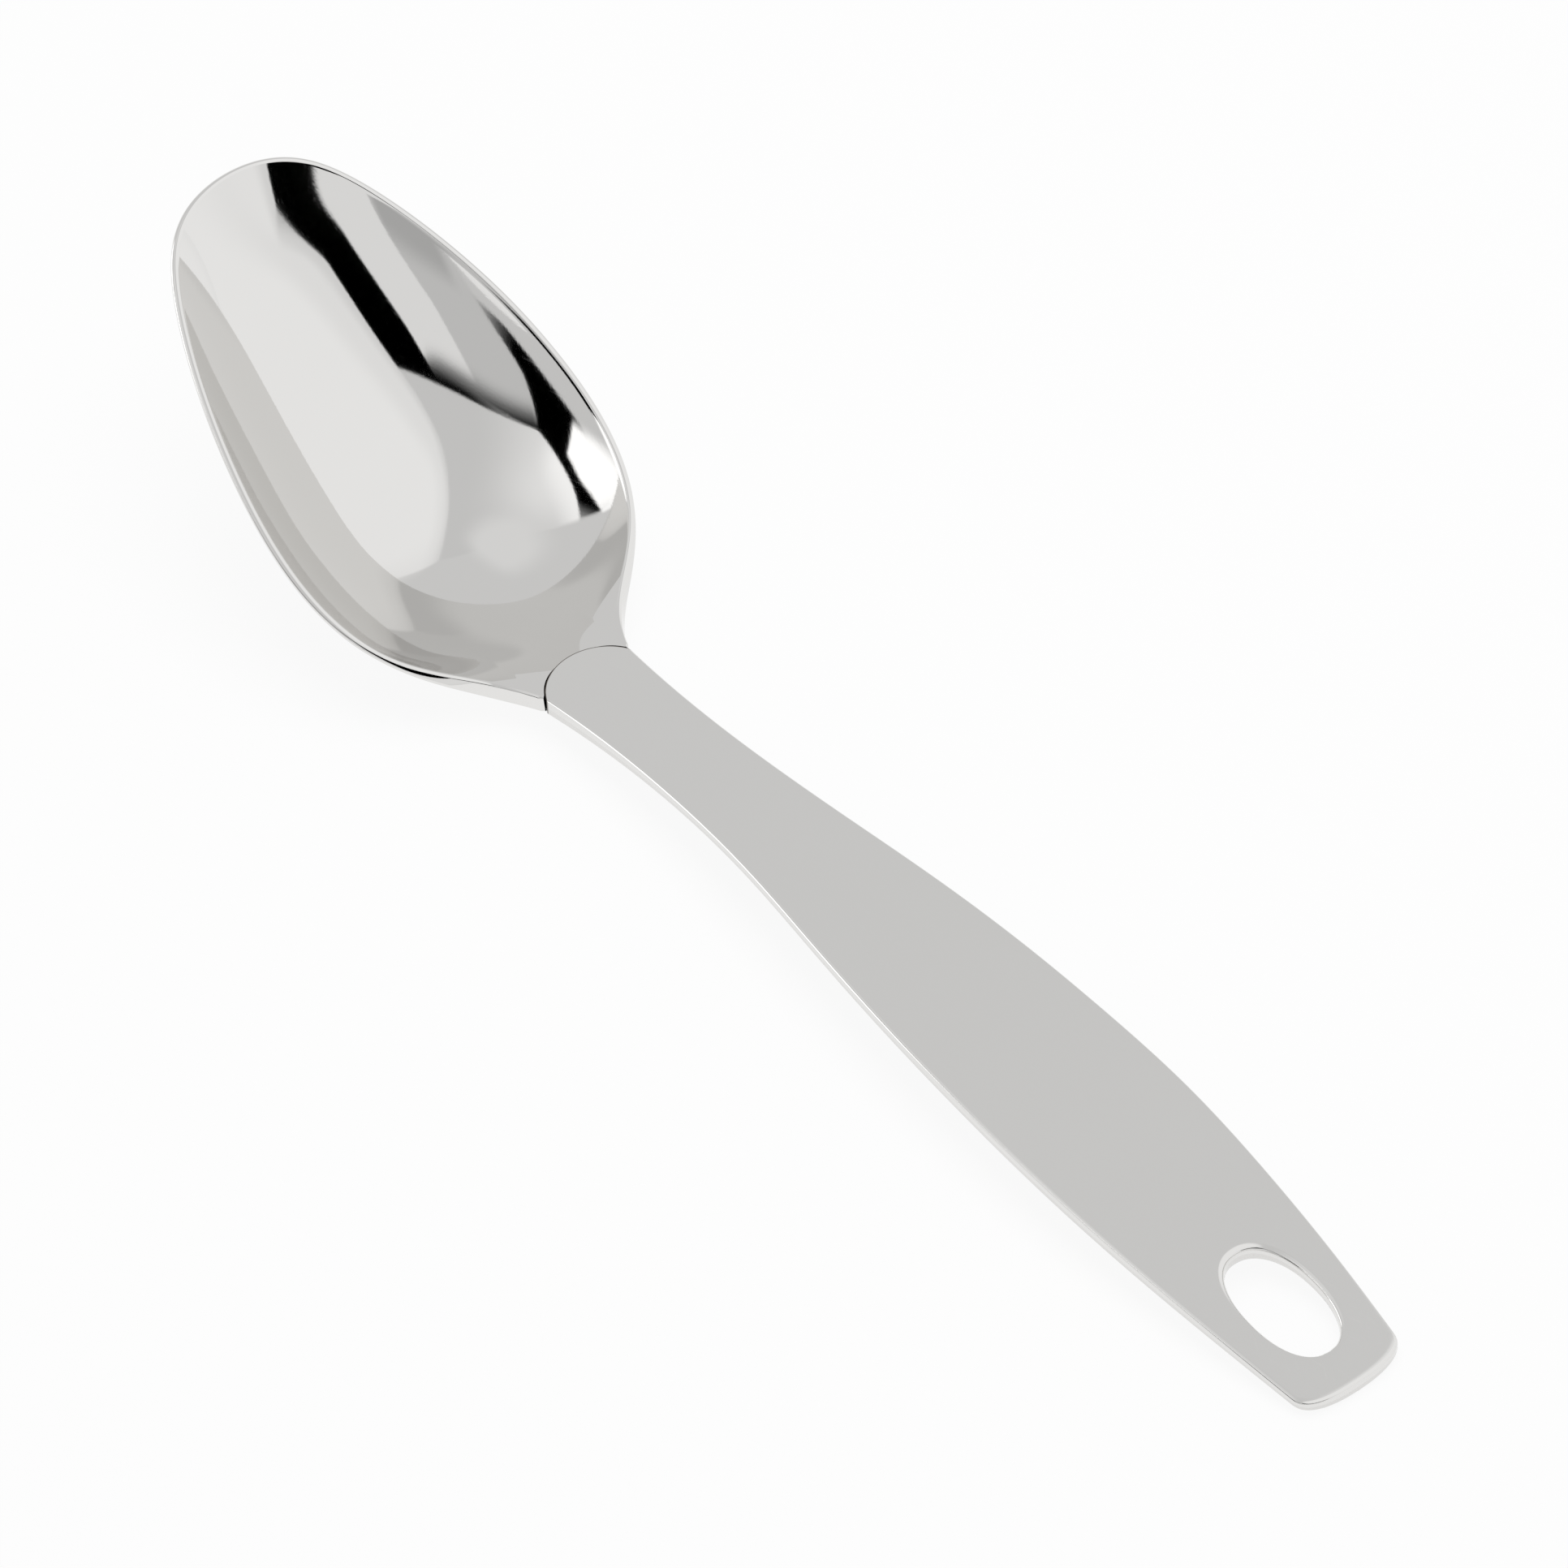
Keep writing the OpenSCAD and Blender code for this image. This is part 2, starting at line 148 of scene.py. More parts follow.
class SpoonFinish(bpy.types.PropertyGroup):
    """Colours and polish of the steel, with painted shade on the underside and in the joint."""

    bowl_colour: colour("Bowl steel", "Colour of the bowl", (0.78, 0.773, 0.76))
    handle_colour: colour("Handle steel", "Colour of the handle's top", (0.78, 0.774, 0.76))
    # The underside is painted darker than the top: painted shade, for the shadowed table that its edges
    # mirror.
    underside_colour_with_painted_shade: colour("Underside steel", "Colour of the handle's underside", (0.74, 0.732, 0.718))
    # The tang and the line along the joint are painted near-black: painted shade in the gap between
    # handle and neck, with dirt in the joint.
    joint_dirt_and_shade_colour: colour("Joint dirt and shade", "Colour of the tang and the joint", (0.15, 0.13, 0.115))
    bowl_roughness: share("Bowl roughness", "Softness of the bowl's reflections", 0.035)
    handle_roughness: share("Handle roughness", "Softness of the handle's reflections", 0.11)
    underside_roughness: share("Underside roughness", "Softness of the underside's reflections", 0.16)


class SpoonStudio(bpy.types.PropertyGroup):
    """Camera, light and surroundings."""

    azimuth: angle("Azimuth", "Direction of the camera round the spoon, from +X", 143.576)
    elevation: angle("Elevation", "Height angle of the camera", 46.857)
    roll: angle("Roll", "Turn of the camera about its own line of sight", -3.288)
    distance: length("Distance", "From the camera to its target above the table", 1.7464)
    target_height: length("Target height", "Height of the camera's target", 0.02)
    lens: share("Focal length", "Focal length in millimetres on a 36 mm frame", 286.56, 1000)
    shift: bpy.props.FloatVectorProperty(
        name="Shift", description="Shift of the camera's frame", default=(0.00495, -0.00101), size=2
    )
    room: share("Room", "Brightness of the room that the steel mirrors", 0.68)


# Curves shared by the handle and the bowl


def curve_at(table, place):
    """Smooth curve through a table at places counted in table steps, straight past its last value."""
    table = np.asarray(table, float)
    place = np.asarray(place, float)
    last = len(table) - 1
    padded = np.concatenate([[2 * table[0] - table[1]], table, [2 * table[-1] - table[-2]]])
    inside = np.minimum(place, last)
    i = np.clip(np.floor(inside).astype(int), 0, last - 1)
    f = inside - i
    beyond = np.maximum(place - last, 0)
    if table.ndim > 1:
        f = f[..., None]
        beyond = beyond[..., None]
    curve = (
        padded[i] * (1 - f) ** 3
        + padded[i + 1] * (3 * f**3 - 6 * f**2 + 4)
        + padded[i + 2] * (-3 * f**3 + 3 * f**2 + 3 * f + 1)
        + padded[i + 3] * f**3
    ) / 6
    return curve + (table[-1] - table[-2]) * beyond


def ease(s):
    """Smooth step from 0 to 1."""
    c = np.clip(s, 0, 1)
    return c * c * (3 - 2 * c)


def unit(vectors):
    """Vectors of length 1 in the same directions."""
    return vectors / np.linalg.norm(vectors, axis=-1, keepdims=True)


class HandleForm:
    """The handle's widths and heights along its length."""

    def __init__(self, handle, bowl):
        self.sizes = handle
        self.mouth_x = handle.handle_length - bowl.mouth_depth
        self.mouth_depth = bowl.mouth_depth
        self.mouth_half = float(self.half(self.mouth_x))
        self.mouth_radius = (self.mouth_half**2 + self.mouth_depth**2) / (2 * self.mouth_depth)
        self.handle_end = handle.handle_length - bowl.joint_line + bowl.joint_gap

    def along(self, shares, x):
        """Value of a table that runs evenly over the handle."""
        return curve_at(shares, x / self.sizes.handle_length * (len(shares) - 1))

    def half(self, x):
        """Half the width."""
        return self.sizes.handle_width / 2 * self.along(WIDTH_SHARES, x)

    def top_edge(self, x):
        """Height of the top face at its edges."""
        return self.sizes.arch_height * self.along(ARCH_SHARES, x)

    def thickness(self, x):
        """Thickness at the edges."""
        return self.sizes.edge_thickness * self.along(EDGE_SHARES, x)

    def belly(self, x):
        """Bulge of the underside below the edges."""
        return self.sizes.belly_bulge * self.along(BELLY_SHARES, x)

    def face(self, side, x, y):
        """Height of the upper face (side 1) or the lower face (side -1)."""
        across = 1 - (y / self.half(x)) ** 2
        bulge = self.sizes.crown_bulge if side > 0 else self.belly(x)
        seam = self.top_edge(x) - self.thickness(x) / 2
        return seam + side * (self.thickness(x) / 2 + bulge * across)

    def mouth_arc(self, y):
        """How far the rounded mouth reaches past its corners."""
        inside = np.minimum(np.abs(y), self.mouth_half)
        return np.sqrt(self.mouth_radius**2 - inside**2) - (self.mouth_radius - self.mouth_depth)


class BowlForm:
    """The bowl's rim and dish, in the handle's own measure along the spoon."""

    def __init__(self, handle_form, handle, bowl):
        self.handle = handle_form
        self.sizes = bowl
        self.crown = handle.crown_bulge
        self.edge_radius = handle.edge_radius
        side = np.array(RIM_SHARES) * (bowl.bowl_length, bowl.bowl_width / 2)
        side = side + (handle_form.mouth_x, 0)
        side = np.concatenate([[[handle_form.mouth_x, handle_form.mouth_half]], side])
        # The curve goes on past the tip, through the mirror images of the last two points
        mirrored = side[:-3:-1] * (1, -1)
        self.rim = np.concatenate([side, mirrored])
        self.tip_place = len(side) - 0.5
        self.dish_length = (
            self.rim_point(np.array(self.tip_place))[0] - handle_form.mouth_x + bowl.joint_gap
        )

    def rim_point(self, place):
        """Where the dish ends and its rounded edge begins, in plan."""
        run = unit(curve_at(self.rim, place + NUDGE) - curve_at(self.rim, place - NUDGE))
        inward = np.stack([run[..., 1], -run[..., 0]], -1)
        return curve_at(self.rim, place) + self.edge_radius * inward

    def dish_height(self, x, v):
        """Height of the bowl's upper face."""
        s = (x - self.handle.mouth_x) / self.dish_length
        deep = curve_at(DEPTH_SHARES, s * (len(DEPTH_SHARES) - 1))
        rise = curve_at(RISE_SHARES, s * (len(RISE_SHARES) - 1))
        fullness = 1 + self.sizes.bowl_flat * np.maximum(deep, 0) * v * v
        neck = 1 - ease((x - self.handle.mouth_x) / self.sizes.neck_taper)
        return (
            self.handle.top_edge(x)
            + self.crown * (1 - v * v) * neck
            + self.sizes.tip_rise * rise
            - self.sizes.bowl_depth * deep * (1 - v * v) * fullness
        )

    def dish(self, place, v):
        """Point of the bowl's upper face: place along its rim, v from -1 to 1 across."""
        rim = self.rim_point(place)
        neck = 1 - ease((rim[..., 0] - self.handle.mouth_x) / self.sizes.neck_taper)
        y = v * rim[..., 1]
        x = rim[..., 0] + self.handle.mouth_arc(y) * neck + self.sizes.joint_gap
        return np.stack([x, y, self.dish_height(x, v)], -1)

    def thickness(self, points, v):
        """Thickness of the steel, which thins from the neck into the bowl."""
        x, y = points[..., 0], points[..., 1]
        full = self.handle.thickness(x) + (self.crown + self.handle.belly(x)) * (1 - v * v)
        s = ease((x - self.handle.mouth_x - self.handle.mouth_arc(y)) / self.sizes.neck_taper)
        return full + (self.sizes.bowl_sheet - full) * s

    def frame(self, place, v):
        """Directions up from the face and out across its edge."""
        run = self.dish(place + NUDGE, v) - self.dish(place - NUDGE, v)
        over = self.dish(place, v + NUDGE) - self.dish(place, v - NUDGE)
        along_run = unit(run)
        out = over - along_run * np.sum(over * along_run, -1, keepdims=True)
        return unit(np.cross(run, over)), unit(out) * np.sign(v)[..., None]


# Mesh work


SHARP_ANGLE = math.radians(35)


def new_piece(name, points, faces):
    """A mesh object at the origin, with its place in its mesh."""
    mesh = bpy.data.meshes.new(name)
    mesh.from_pydata(np.asarray(points, float).tolist(), [], faces)
    mesh.update()
    piece = bpy.data.objects.new(name, mesh)
    bpy.context.scene.collection.objects.link(piece)
    return piece


def mark(mesh, name, domain, values):
    """Stores one number for each point or face of a mesh."""
    layer = mesh.attributes.new(name, "FLOAT", domain)
    layer.data.foreach_set("value", np.asarray(values, np.float32))


def smooth(mesh):
    """Smooth shading with sharp edges only where faces meet at more than an angle."""
    mesh.shade_smooth()
    mesh.set_sharp_from_angle(angle=SHARP_ANGLE)


def grid_faces(ids):
    """Quads between neighbouring rows of point numbers."""
    corners = [ids[:-1, :-1], ids[1:, :-1], ids[1:, 1:], ids[:-1, 1:]]
    return np.stack(corners, -1).reshape(-1, 4)


# Bowl


# Steps of the mesh along the bowl, along the tang, across both, and round an edge
BOWL_STATIONS = 230
TANG_STATIONS = 12
CROSS_STEPS = 144
ROUND_STEPS = 6
# Share of the tang's half thickness that its rounded sides take up
TANG_ROUND_SHARE = 0.75
# Step back along the rim from the tip, where the dish has no width, for taking its directions
TIP_BACK = 0.02


def turns():
    """Angles of a quarter turn in even steps."""
    return np.radians(90) * np.arange(1, ROUND_STEPS + 1) / ROUND_STEPS


def rolled_edge(point, up, out, thickness, radius):
    """Rounded edge from the top of the sheet down to its underside."""
    t = turns()[:, None]
    rolled = point + (out * np.sin(t) - up * (1 - np.cos(t))) * radius
    under = point + (out * np.sin(t) + up * (1 - np.cos(t))) * radius - up * thickness
    return np.concatenate([rolled, under[::-1]])


def dish_ring(form, place):
    """Closed ring of points round the bowl at one place along its rim."""
    v = np.linspace(-1, 1, CROSS_STEPS + 1)
    places = np.full_like(v, place)
    top = form.dish(places, v)
    up, out = form.frame(places, v)
    thick = form.thickness(top, v)
    low = top - up * thick[:, None]
    left = rolled_edge(top[-1], up[-1], out[-1], thick[-1], form.edge_radius)
    right = rolled_edge(top[0], up[0], out[0], thick[0], form.edge_radius)
    return np.concatenate([top, left, low[::-1], right[::-1]])


def tang_ring(form, s):
    """Closed ring round the tang, which fills the handle between its shells."""
    handle, sizes = form.handle, form.sizes
    cover = handle.sizes.shell_sheet + sizes.joint_gap
    half = (handle.mouth_half - cover) * (1 - sizes.tang_narrow * s) - form.edge_radius
    y = np.linspace(-half, half, CROSS_STEPS + 1)
    x = handle.mouth_x - sizes.tang_length * s + (handle.mouth_arc(y) + sizes.joint_gap) * (1 - s)
    top = np.stack([x, y, handle.face(1, x, y) - cover], -1)
    low = np.stack([x, y, handle.face(-1, x, y) + cover], -1)
    thick = top[0, 2] - low[0, 2]
    t = turns()[:, None]
    fall = thick / 2 * (1 - np.cos(t)) * TANG_ROUND_SHARE

    def side(point, sign):
        out = np.array([0, sign * form.edge_radius, 0]) * np.sin(t)
        down = np.array([0, 0, 1]) * fall
        return np.concatenate([point + out - down, (point + out + down - (0, 0, thick))[::-1]])

    return np.concatenate([top, side(top[-1], 1), low[::-1], side(top[0], -1)[::-1]])


def tip_chain(form):
    """Points that close the bowl at its tip, from the upper face over the edge to the lower face."""
    before = np.array([form.tip_place - TIP_BACK])
    middle = np.zeros(1)
    tip = form.dish(np.array([form.tip_place]), middle)
    up = form.frame(before, middle)[0][0]
    out = unit(form.dish(before, middle) - form.dish(before - NUDGE, middle))[0]
    thick = form.thickness(tip, middle)[0]
    return np.concatenate([tip, rolled_edge(tip[0], up, out, thick, form.edge_radius), tip - up * thick])


def bowl_faces(ring_count, ring_size):
    """Faces between the rings of the bowl and tang, closed at the tip and at the tang's end."""
    edge_size = 2 * ROUND_STEPS
    low_left = CROSS_STEPS + edge_size + 1
    low_right = low_left + CROSS_STEPS
    k = np.arange(ring_size)
    tip_ids = np.where(k <= CROSS_STEPS, 0, np.where(k < low_left, k - CROSS_STEPS, edge_size + 1))
    tip_ids = np.where(k > low_right, ring_size - k, tip_ids)
    ids = np.arange(ring_count * ring_size).reshape(ring_count, ring_size)
    ids = np.concatenate([ids, [ring_count * ring_size + tip_ids]])
    ids = np.concatenate([ids, ids[:, :1]], 1)
    faces = grid_faces(ids).tolist()
    j = np.arange(CROSS_STEPS)
    faces += np.stack([j, j + 1, low_right - j - 1, low_right - j], -1).tolist()
    faces.append(list(range(CROSS_STEPS, low_left + 1)))
    faces.append(list(range(low_right, ring_size)) + [0])
    faces = [list(dict.fromkeys(face)) for face in faces]
    return [face for face in faces if len(face) > 2]


def bowl_mesh(form):
    """Points and faces of the bowl with its neck and tang, and which faces are on the tang."""
    rings = [tang_ring(form, k / TANG_STATIONS) for k in range(TANG_STATIONS, -1, -1)]
    rings += [dish_ring(form, form.tip_place * k / BOWL_STATIONS) for k in range(BOWL_STATIONS)]
    ring_size = len(rings[0])
    faces = bowl_faces(len(rings), ring_size)
    on_tang = [min(face) < (TANG_STATIONS + 1) * ring_size for face in faces]
    return np.concatenate(rings + [tip_chain(form)]), faces, on_tang


# Handle


# Steps of the mesh beside the hole, round the handle's end, out from the hole, from there to the
# mouth, and across the handle
SIDE_STATIONS = 30
END_STATIONS = 72
HOLE_RINGS = 10
HANDLE_ROWS = 130
HANDLE_CROSS = 44


def handle_outline(form):
    """Outline of the handle in plan, from the mouth's left corner round the end to its right corner."""
    sizes = form.sizes
    zone = 2 * sizes.hole_place
    reach = sizes.end_length + sizes.end_bow
    up = np.linspace(form.mouth_x, zone, HANDLE_ROWS + 1)
    beside = np.linspace(zone, reach, SIDE_STATIONS + 1)[1:-1]
    x = np.concatenate([up, beside])
    left = np.stack([x, form.half(x)], -1)
    a = np.radians(np.linspace(90, -90, END_STATIONS + 1))
    across = np.sign(a) * np.abs(np.sin(a)) ** (2 / sizes.end_square)
    end_x = sizes.end_length * (1 - np.abs(np.cos(a)) ** (2 / sizes.end_square))
    end_x = end_x + sizes.end_bow * across**2
    end = np.stack([end_x, form.half(end_x) * across], -1)
    return np.concatenate([left, end, left[::-1] * (1, -1)])


class ShellBlank:
    """Flat blank of one shell, before it is pressed."""

    def __init__(self, form):
        self.sizes = form.sizes
        self.edge = handle_outline(form)
        ahead = np.concatenate([self.edge[1:], self.edge[-1:]])
        behind = np.concatenate([self.edge[:1], self.edge[:-1]])
        run = unit(ahead - behind)
        self.outward = np.stack([run[:, 1], -run[:, 0]], -1)
        self.edge_count = len(self.edge)
        self.loop_side = self.edge_count - 2 * HANDLE_ROWS
        self.loop_count = self.loop_side + HANDLE_CROSS - 1

    def row(self, number, by):
        """Line across the handle, between its edges moved in by a length."""
        inner = self.edge - self.outward * by
        s = np.linspace(0, 1, HANDLE_CROSS + 1)[:, None]
        right = inner[self.edge_count - 1 - HANDLE_ROWS + number]
        left = inner[HANDLE_ROWS - number]
        return right + (left - right) * s

    def loop(self, by):
        """Closed line round the part with the hole: round the handle's end, then back across."""
        inner = self.edge - self.outward * by
        return np.concatenate([inner[HANDLE_ROWS:HANDLE_ROWS + self.loop_side], self.row(0, by)[1:-1]])

    def hole(self, by):
        """Outline of the hole, widened by a length, with a point for each one of the loop."""
        sizes = self.sizes
        to = self.loop(sizes.shell_sheet) - (sizes.hole_place, 0)
        a = np.arctan2(to[:, 1] / sizes.hole_width, to[:, 0] / sizes.hole_length)
        power = 2 / sizes.hole_square
        x = (sizes.hole_length / 2 + by) * np.sign(np.cos(a)) * np.abs(np.cos(a)) ** power
        y = (sizes.hole_width / 2 + by) * np.sign(np.sin(a)) * np.abs(np.sin(a)) ** power
        return np.stack([x + sizes.hole_place, y], -1)

    def skin(self, by, hole_by):
        """One side of the sheet: rings from the hole out to the loop, and rows on to the mouth."""
        inner, outer = self.hole(hole_by), self.loop(by)
        rings = [inner + (outer - inner) * k / HOLE_RINGS for k in range(HOLE_RINGS + 1)]
        return np.concatenate(rings + [self.row(number, by) for number in range(1, HANDLE_ROWS + 1)])

    def layers(self):
        """Points in plan, how far each lot falls below the face, and whether it is on the seam."""
        edge, sheet = self.edge, self.sizes.shell_sheet
        radius, lip = self.sizes.edge_radius, self.sizes.lip_radius
        yield self.skin(radius, lip), 0, 0
        yield self.skin(sheet, sheet), sheet, 0
        for t in turns():
            yield edge - self.outward * radius * (1 - math.sin(t)), radius * (1 - math.cos(t)), 0
        yield edge, 0, 1
        yield edge - self.outward * sheet, 0, 1
        for t in turns():
            yield self.hole(lip * (1 - math.sin(t))), lip * (1 - math.cos(t)), 0
        yield self.hole(0), 0, 1
        yield self.hole(sheet), 0, 1

    def skin_ids(self):
        """Point numbers of one side of the sheet, as rings round the hole and rows across."""
        rings = np.arange((HOLE_RINGS + 1) * self.loop_count).reshape(-1, self.loop_count)
        rings = np.concatenate([rings, rings[:, :1]], 1)
        first_row = np.concatenate([rings[-1, self.loop_side - 1:self.loop_count], rings[-1, :1]])
        rest = (HOLE_RINGS + 1) * self.loop_count + np.arange(HANDLE_ROWS * (HANDLE_CROSS + 1))
        rows = np.concatenate([[first_row], rest.reshape(HANDLE_ROWS, HANDLE_CROSS + 1)])
        return rings, rows

    def faces(self):
        """Faces of both sides of the sheet, its rolled edge, the lip of its hole and its mouth."""
        rings, rows = self.skin_ids()
        skin_count = rows[-1, -1] + 1
        skin_quads = np.concatenate([grid_faces(rings), grid_faces(rows)])
        edge_ids = np.concatenate([rows[:0:-1, -1], rings[-1, :self.loop_side], rows[1:, 0]])
        wall_size = (ROUND_STEPS + 2) * self.edge_count
        wall = 2 * skin_count + np.arange(wall_size).reshape(-1, self.edge_count)
        side_chain = np.concatenate([[edge_ids], wall, [edge_ids + skin_count]]).T
        lip = np.arange((ROUND_STEPS + 2) * self.loop_count).reshape(-1, self.loop_count)
        lip = 2 * skin_count + wall_size + lip
        hole_chain = np.concatenate([[rings[0, :-1]], lip, [rings[0, :-1] + skin_count]]).T
        hole_chain = np.concatenate([hole_chain, hole_chain[:1]])
        mouth = np.stack([rows[-1] + skin_count, rows[-1]])
        quads = [
            skin_quads,
            skin_quads[:, ::-1] + skin_count,
            grid_faces(side_chain)[:, ::-1],
            grid_faces(hole_chain),
            np.stack([mouth[0, :-1], mouth[0, 1:], mouth[1, 1:], mouth[1, :-1]], -1),
        ]
        ends = [side_chain[0].tolist()[::-1], side_chain[-1].tolist()]
        return np.concatenate(quads).tolist() + ends


def handle_blank(form, bowl):
    """Plan of one shell, how far each point falls below the face, what is on the seam, and faces."""
    blank = ShellBlank(form)
    plans, falls, seams = zip(*blank.layers())
    counts = [len(plan) for plan in plans]
    plan = np.concatenate(plans)
    # Draw the straight end out to the rounded mouth
    reach = ease((plan[:, 0] - form.mouth_x + bowl.tang_length) / bowl.tang_length)
    mouth = form.mouth_arc(plan[:, 1]) - bowl.joint_line + bowl.joint_gap
    plan = plan + np.stack([mouth * reach, np.zeros(len(plan))], -1)
    return plan, np.repeat(falls, counts), np.repeat(seams, counts), blank.faces()


# Node trees


def feed(tree, socket, value):
    """Links a socket to another one, or gives it a plain value."""
    if isinstance(value, bpy.types.NodeSocket):
        tree.links.new(value, socket)
    else:
        socket.default_value = value


def fill_node(tree, kind, **values):
    """A node with its settings, and with its sockets fed where a key starts with a capital letter."""
    node = tree.nodes.new(kind)
    for key, value in values.items():
        if key[0].isupper():
            feed(tree, node.inputs[key.replace("_", " ")], value)
        else:
            setattr(node, key, value)
    return node


class Sums:
    """Writes sums into a node tree, one node for each step."""

    def __init__(self, tree):
        self.tree = tree

    def node(self, kind, operation, values):
        node = fill_node(self.tree, kind, operation=operation)
        for socket, value in zip(node.inputs, values):
            feed(self.tree, socket, value)
        return node

    def maths(self, operation, *values):
        return self.node("ShaderNodeMath", operation, values).outputs[0]

    def times(self, a, b):
        return self.maths("MULTIPLY", a, b)

    def plus(self, a, b):
        return self.maths("ADD", a, b)

    def minus(self, a, b):
        return self.maths("SUBTRACT", a, b)

    def vector(self, operation, *values):
        return self.node("ShaderNodeVectorMath", operation, values).outputs[0]

    def scaled(self, vector, by):
        node = fill_node(self.tree, "ShaderNodeVectorMath", operation="SCALE", Vector=vector, Scale=by)
        return node.outputs[0]

    def combined(self, x, y, z):
        return fill_node(self.tree, "ShaderNodeCombineXYZ", X=x, Y=y, Z=z).outputs[0]

    def split(self, vector):
        return fill_node(self.tree, "ShaderNodeSeparateXYZ", Vector=vector).outputs


def geometry_tree(name, given, result):
    """Geometry node tree, with the sockets inside it for what it is given and for its result."""
    tree = bpy.data.node_groups.new(name, "GeometryNodeTree")
    for in_out, sockets in (("INPUT", given), ("OUTPUT", result)):
        for socket, kind in sockets.items():
            tree.interface.new_socket(socket, in_out=in_out, socket_type=f"NodeSocket{kind}")
    start, end = tree.nodes.new("NodeGroupInput"), tree.nodes.new("NodeGroupOutput")
    return tree, start.outputs, end.inputs


# What the handle's table and curves give
SHARE_SOCKETS = {"Width, arch, edge": "Vector", "Belly": "Float"}


def table_tree():
    """Node group that looks up the handle's shares at one step: width, arch and edge, and belly."""
    tree, given, result = geometry_tree("Handle table", {"Step": "Int"}, SHARE_SOCKETS)
    shares = np.array([WIDTH_SHARES, ARCH_SHARES, EDGE_SHARES, BELLY_SHARES]).T
    padded = np.concatenate([[2 * shares[0] - shares[1]], shares, [2 * shares[-1] - shares[-2]]])
    for output, kind, values in (
        (0, "VECTOR", [tuple(step[:3]) for step in padded]),
        (1, "FLOAT", [float(step[3]) for step in padded]),
    ):
        switch = fill_node(tree, "GeometryNodeIndexSwitch", data_type=kind, Index=given["Step"])
        while len(switch.index_switch_items) < len(values):
            switch.index_switch_items.new()
        for socket, value in zip(switch.inputs[1:], values):
            socket.default_value = value
        tree.links.new(switch.outputs[0], result[output])
    return tree


def handle_curve_tree():
    """Node group that runs smooth curves through the handle's table, as shares at a place along it."""
    lookup = table_tree()
    tree, given, result = geometry_tree("Handle curves", {"Place": "Float"}, SHARE_SOCKETS)
    sums = Sums(tree)
    steps = len(WIDTH_SHARES) - 1
    place = sums.times(given["Place"], steps)
    step = sums.maths("MAXIMUM", sums.maths("FLOOR", place), 0)
    step = sums.maths("MINIMUM", step, steps - 1)
    f = sums.minus(place, step)
    rest = sums.minus(1, f)
    square = sums.times(f, f)
    cube = sums.times(square, f)
    first = sums.maths("DIVIDE", sums.maths("POWER", rest, 3), 6)
    fourth = sums.maths("DIVIDE", cube, 6)
    bend = sums.minus(sums.maths("DIVIDE", cube, 2), square)
    second = sums.plus(bend, 2 / 3)
    third = sums.minus(1, sums.plus(sums.plus(first, second), fourth))
    total, belly = (0, 0, 0), 0
    for number, weight in enumerate((first, second, third, fourth)):
        here = sums.plus(step, number)
        group = fill_node(tree, "GeometryNodeGroup", node_tree=lookup, Step=here)
        total = sums.vector("ADD", sums.scaled(group.outputs[0], weight), total)
        belly = sums.maths("MULTIPLY_ADD", group.outputs[1], weight, belly)
    tree.links.new(total, result[0])
    tree.links.new(belly, result[1])
    return tree


def pressed_height(sums, given, x, y):
    """Height of a point of the blank after pressing, from the sizes that the tree is given."""
    tree = sums.tree

    def attribute(name):
        node = fill_node(tree, "GeometryNodeInputNamedAttribute", data_type="FLOAT", Name=name)
        return node.outputs[0]

    place = sums.maths("DIVIDE", x, given["Length"])
    curves = fill_node(tree, "GeometryNodeGroup", node_tree=handle_curve_tree(), Place=place)
    width, arch, edge = sums.split(curves.outputs[0])
    half = sums.times(width, given["Half width"])
    top = sums.times(arch, given["Arch"])
    half_edge = sums.times(sums.times(edge, given["Edge"]), 0.5)
    belly = sums.times(curves.outputs[1], given["Belly"])
    seam = sums.minus(top, half_edge)
    share_across = sums.maths("POWER", sums.maths("DIVIDE", y, half), 2)
    across = sums.minus(1, share_across)
    upper = sums.maths("GREATER_THAN", given["Side"], 0)
    lower = sums.minus(1, upper)
    bulge = sums.maths("MULTIPLY_ADD", upper, given["Crown"], sums.times(lower, belly))
    face = sums.maths("MULTIPLY_ADD", bulge, across, half_edge)
    face = sums.minus(face, attribute("fall"))
    off_seam = sums.minus(1, attribute("on_seam"))
    rise = sums.times(sums.times(face, off_seam), given["Side"])
    return sums.plus(seam, rise)


def press_tree():
    """Node tree that presses a flat blank to the arch and bulge of one shell of the handle."""
    sizes = ("Side", "Length", "Half width", "Arch", "Edge", "Crown", "Belly")
    tree, given, result = geometry_tree("Press a shell", {
        "Blank": "Geometry", **dict.fromkeys(sizes, "Float"), "Place": "Vector", "Steel": "Material",
    }, {"Shell": "Geometry"})
    sums = Sums(tree)
    x, y, _ = sums.split(tree.nodes.new("GeometryNodeInputPosition").outputs[0])
    pressed = sums.combined(x, y, pressed_height(sums, given, x, y))
    moved = sums.vector("ADD", pressed, given["Place"])
    shell = fill_node(tree, "GeometryNodeSetPosition", Geometry=given["Blank"], Position=moved)
    shell = fill_node(tree, "GeometryNodeSetMaterial", Geometry=shell.outputs[0], Material=given["Steel"])
    tree.links.new(shell.outputs[0], result[0])
    return tree


